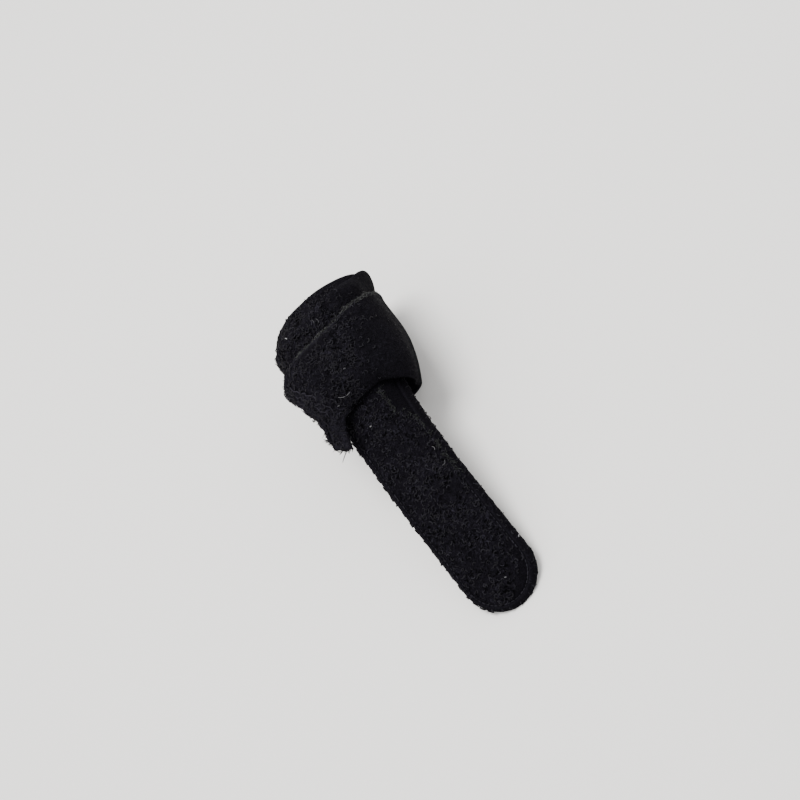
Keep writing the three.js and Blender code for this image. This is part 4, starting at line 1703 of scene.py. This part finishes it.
def camera_ray(across, down):
    """The direction from the camera through a place in the picture, given as shares of its sides."""
    _, right, up, back = photo_camera()
    x = (across - AXIS_ACROSS) / FOCAL
    y = (AXIS_DOWN - down) / FOCAL
    return (right * x + up * y - back).normalized()


def aim_matrix(eye, ray, up):
    """A matrix at eye that looks along ray, with up as near to the picture's top as it goes."""
    back = -ray
    right = up.cross(back).normalized()
    matrix = Matrix((right, back.cross(right), back)).transposed().to_4x4()
    matrix.translation = eye
    return matrix


def soft_light(row, key_power, directions):
    """A round soft light from a row of the lights' table."""
    data = bpy.data.lights.new(row["name"], "AREA")
    data.shape = "DISK"
    data.size = row["size"]
    data.energy = key_power * row["share"]
    data.color = row["colour"]
    target = Vector(LIGHTS_AIM)
    right, up, back = directions
    place = target + right * row["right"] + up * row["up"] + back * row["back"]
    aimed = aim_matrix(place, (target - place).normalized(), Vector(LIGHTS_UP))
    link_object(row["name"], data).matrix_world = aimed


class SPLINT_OT_stage(bpy.types.Operator):
    """Sets out the floor, the soft lights and the camera"""

    bl_idname = "splint.stage"
    bl_label = "Make stage"

    def execute(self, context):
        scene = context.scene
        stage = scene.splint_stage
        signs = ((-1, -1), (1, -1), (1, 1), (-1, 1))
        corners = [(x * FLOOR_HALF, y * FLOOR_HALF, -FLOOR_DROP) for x, y in signs]
        pale = floor_material(stage.floor_colour)
        floor = new_piece("floor", corners, [(0, 1, 2, 3)], pale, closed=False)
        eye, *directions = photo_camera()
        data = bpy.data.cameras.new("camera")
        data.sensor_width = SENSOR
        data.lens = FOCAL * SENSOR
        data.clip_start = CLIP_START
        camera = link_object("camera", data)
        camera.matrix_world = aim_matrix(eye, camera_ray(0.5, 0.5), directions[1])
        scene.camera = camera
        for row in LIGHTS:
            soft_light(row, stage.key_power, directions)
        world = bpy.data.worlds.new("studio")
        scene.world = world
        world.use_nodes = True
        sky = {"Color": SKY_COLOUR, "Strength": stage.sky_strength}
        feed(world.node_tree, world.node_tree.nodes["Background"], sky)
        return {"FINISHED"}


GROUPS = {
    "splint_cloth": SplintClothSettings,
    "splint_pile": SplintPileSettings,
    "splint_stitch": SplintStitchSettings,
    "splint_stage": SplintStageSettings,
}
OPERATORS = (
    SPLINT_OT_strap,
    SPLINT_OT_tongue,
    SPLINT_OT_hook_tab,
    SPLINT_OT_pile,
    SPLINT_OT_stitches,
    SPLINT_OT_frays,
    SPLINT_OT_lint,
    SPLINT_OT_stage,
)


class SPLINT_PT_panel(bpy.types.Panel):
    """Lists the splint's settings and operators"""

    bl_label = "Finger splint"
    bl_idname = "SPLINT_PT_panel"
    bl_space_type = "VIEW_3D"
    bl_region_type = "UI"
    bl_category = "Splint"

    def draw(self, context):
        layout = self.layout
        for group in GROUPS:
            box = layout.box()
            settings = getattr(context.scene, group)
            for prop in settings.bl_rna.properties:
                if prop.identifier not in {"rna_type", "name"}:
                    box.prop(settings, prop.identifier)
        for operator in OPERATORS:
            layout.operator(operator.bl_idname)


def register():
    for cls in (*GROUPS.values(), *OPERATORS, SPLINT_PT_panel):
        bpy.utils.register_class(cls)
    for name, cls in GROUPS.items():
        setattr(bpy.types.Scene, name, bpy.props.PointerProperty(type=cls))


def unregister():
    for name in GROUPS:
        delattr(bpy.types.Scene, name)
    for cls in (SPLINT_PT_panel, *reversed(OPERATORS), *reversed(tuple(GROUPS.values()))):
        bpy.utils.unregister_class(cls)


def main():
    register()
    bpy.ops.splint.strap()
    bpy.ops.splint.tongue()
    bpy.ops.splint.hook_tab()
    bpy.ops.splint.pile()
    bpy.ops.splint.stitches()
    bpy.ops.splint.frays()
    bpy.ops.splint.lint()
    bpy.ops.splint.stage()


if __name__ == "__main__":
    main()
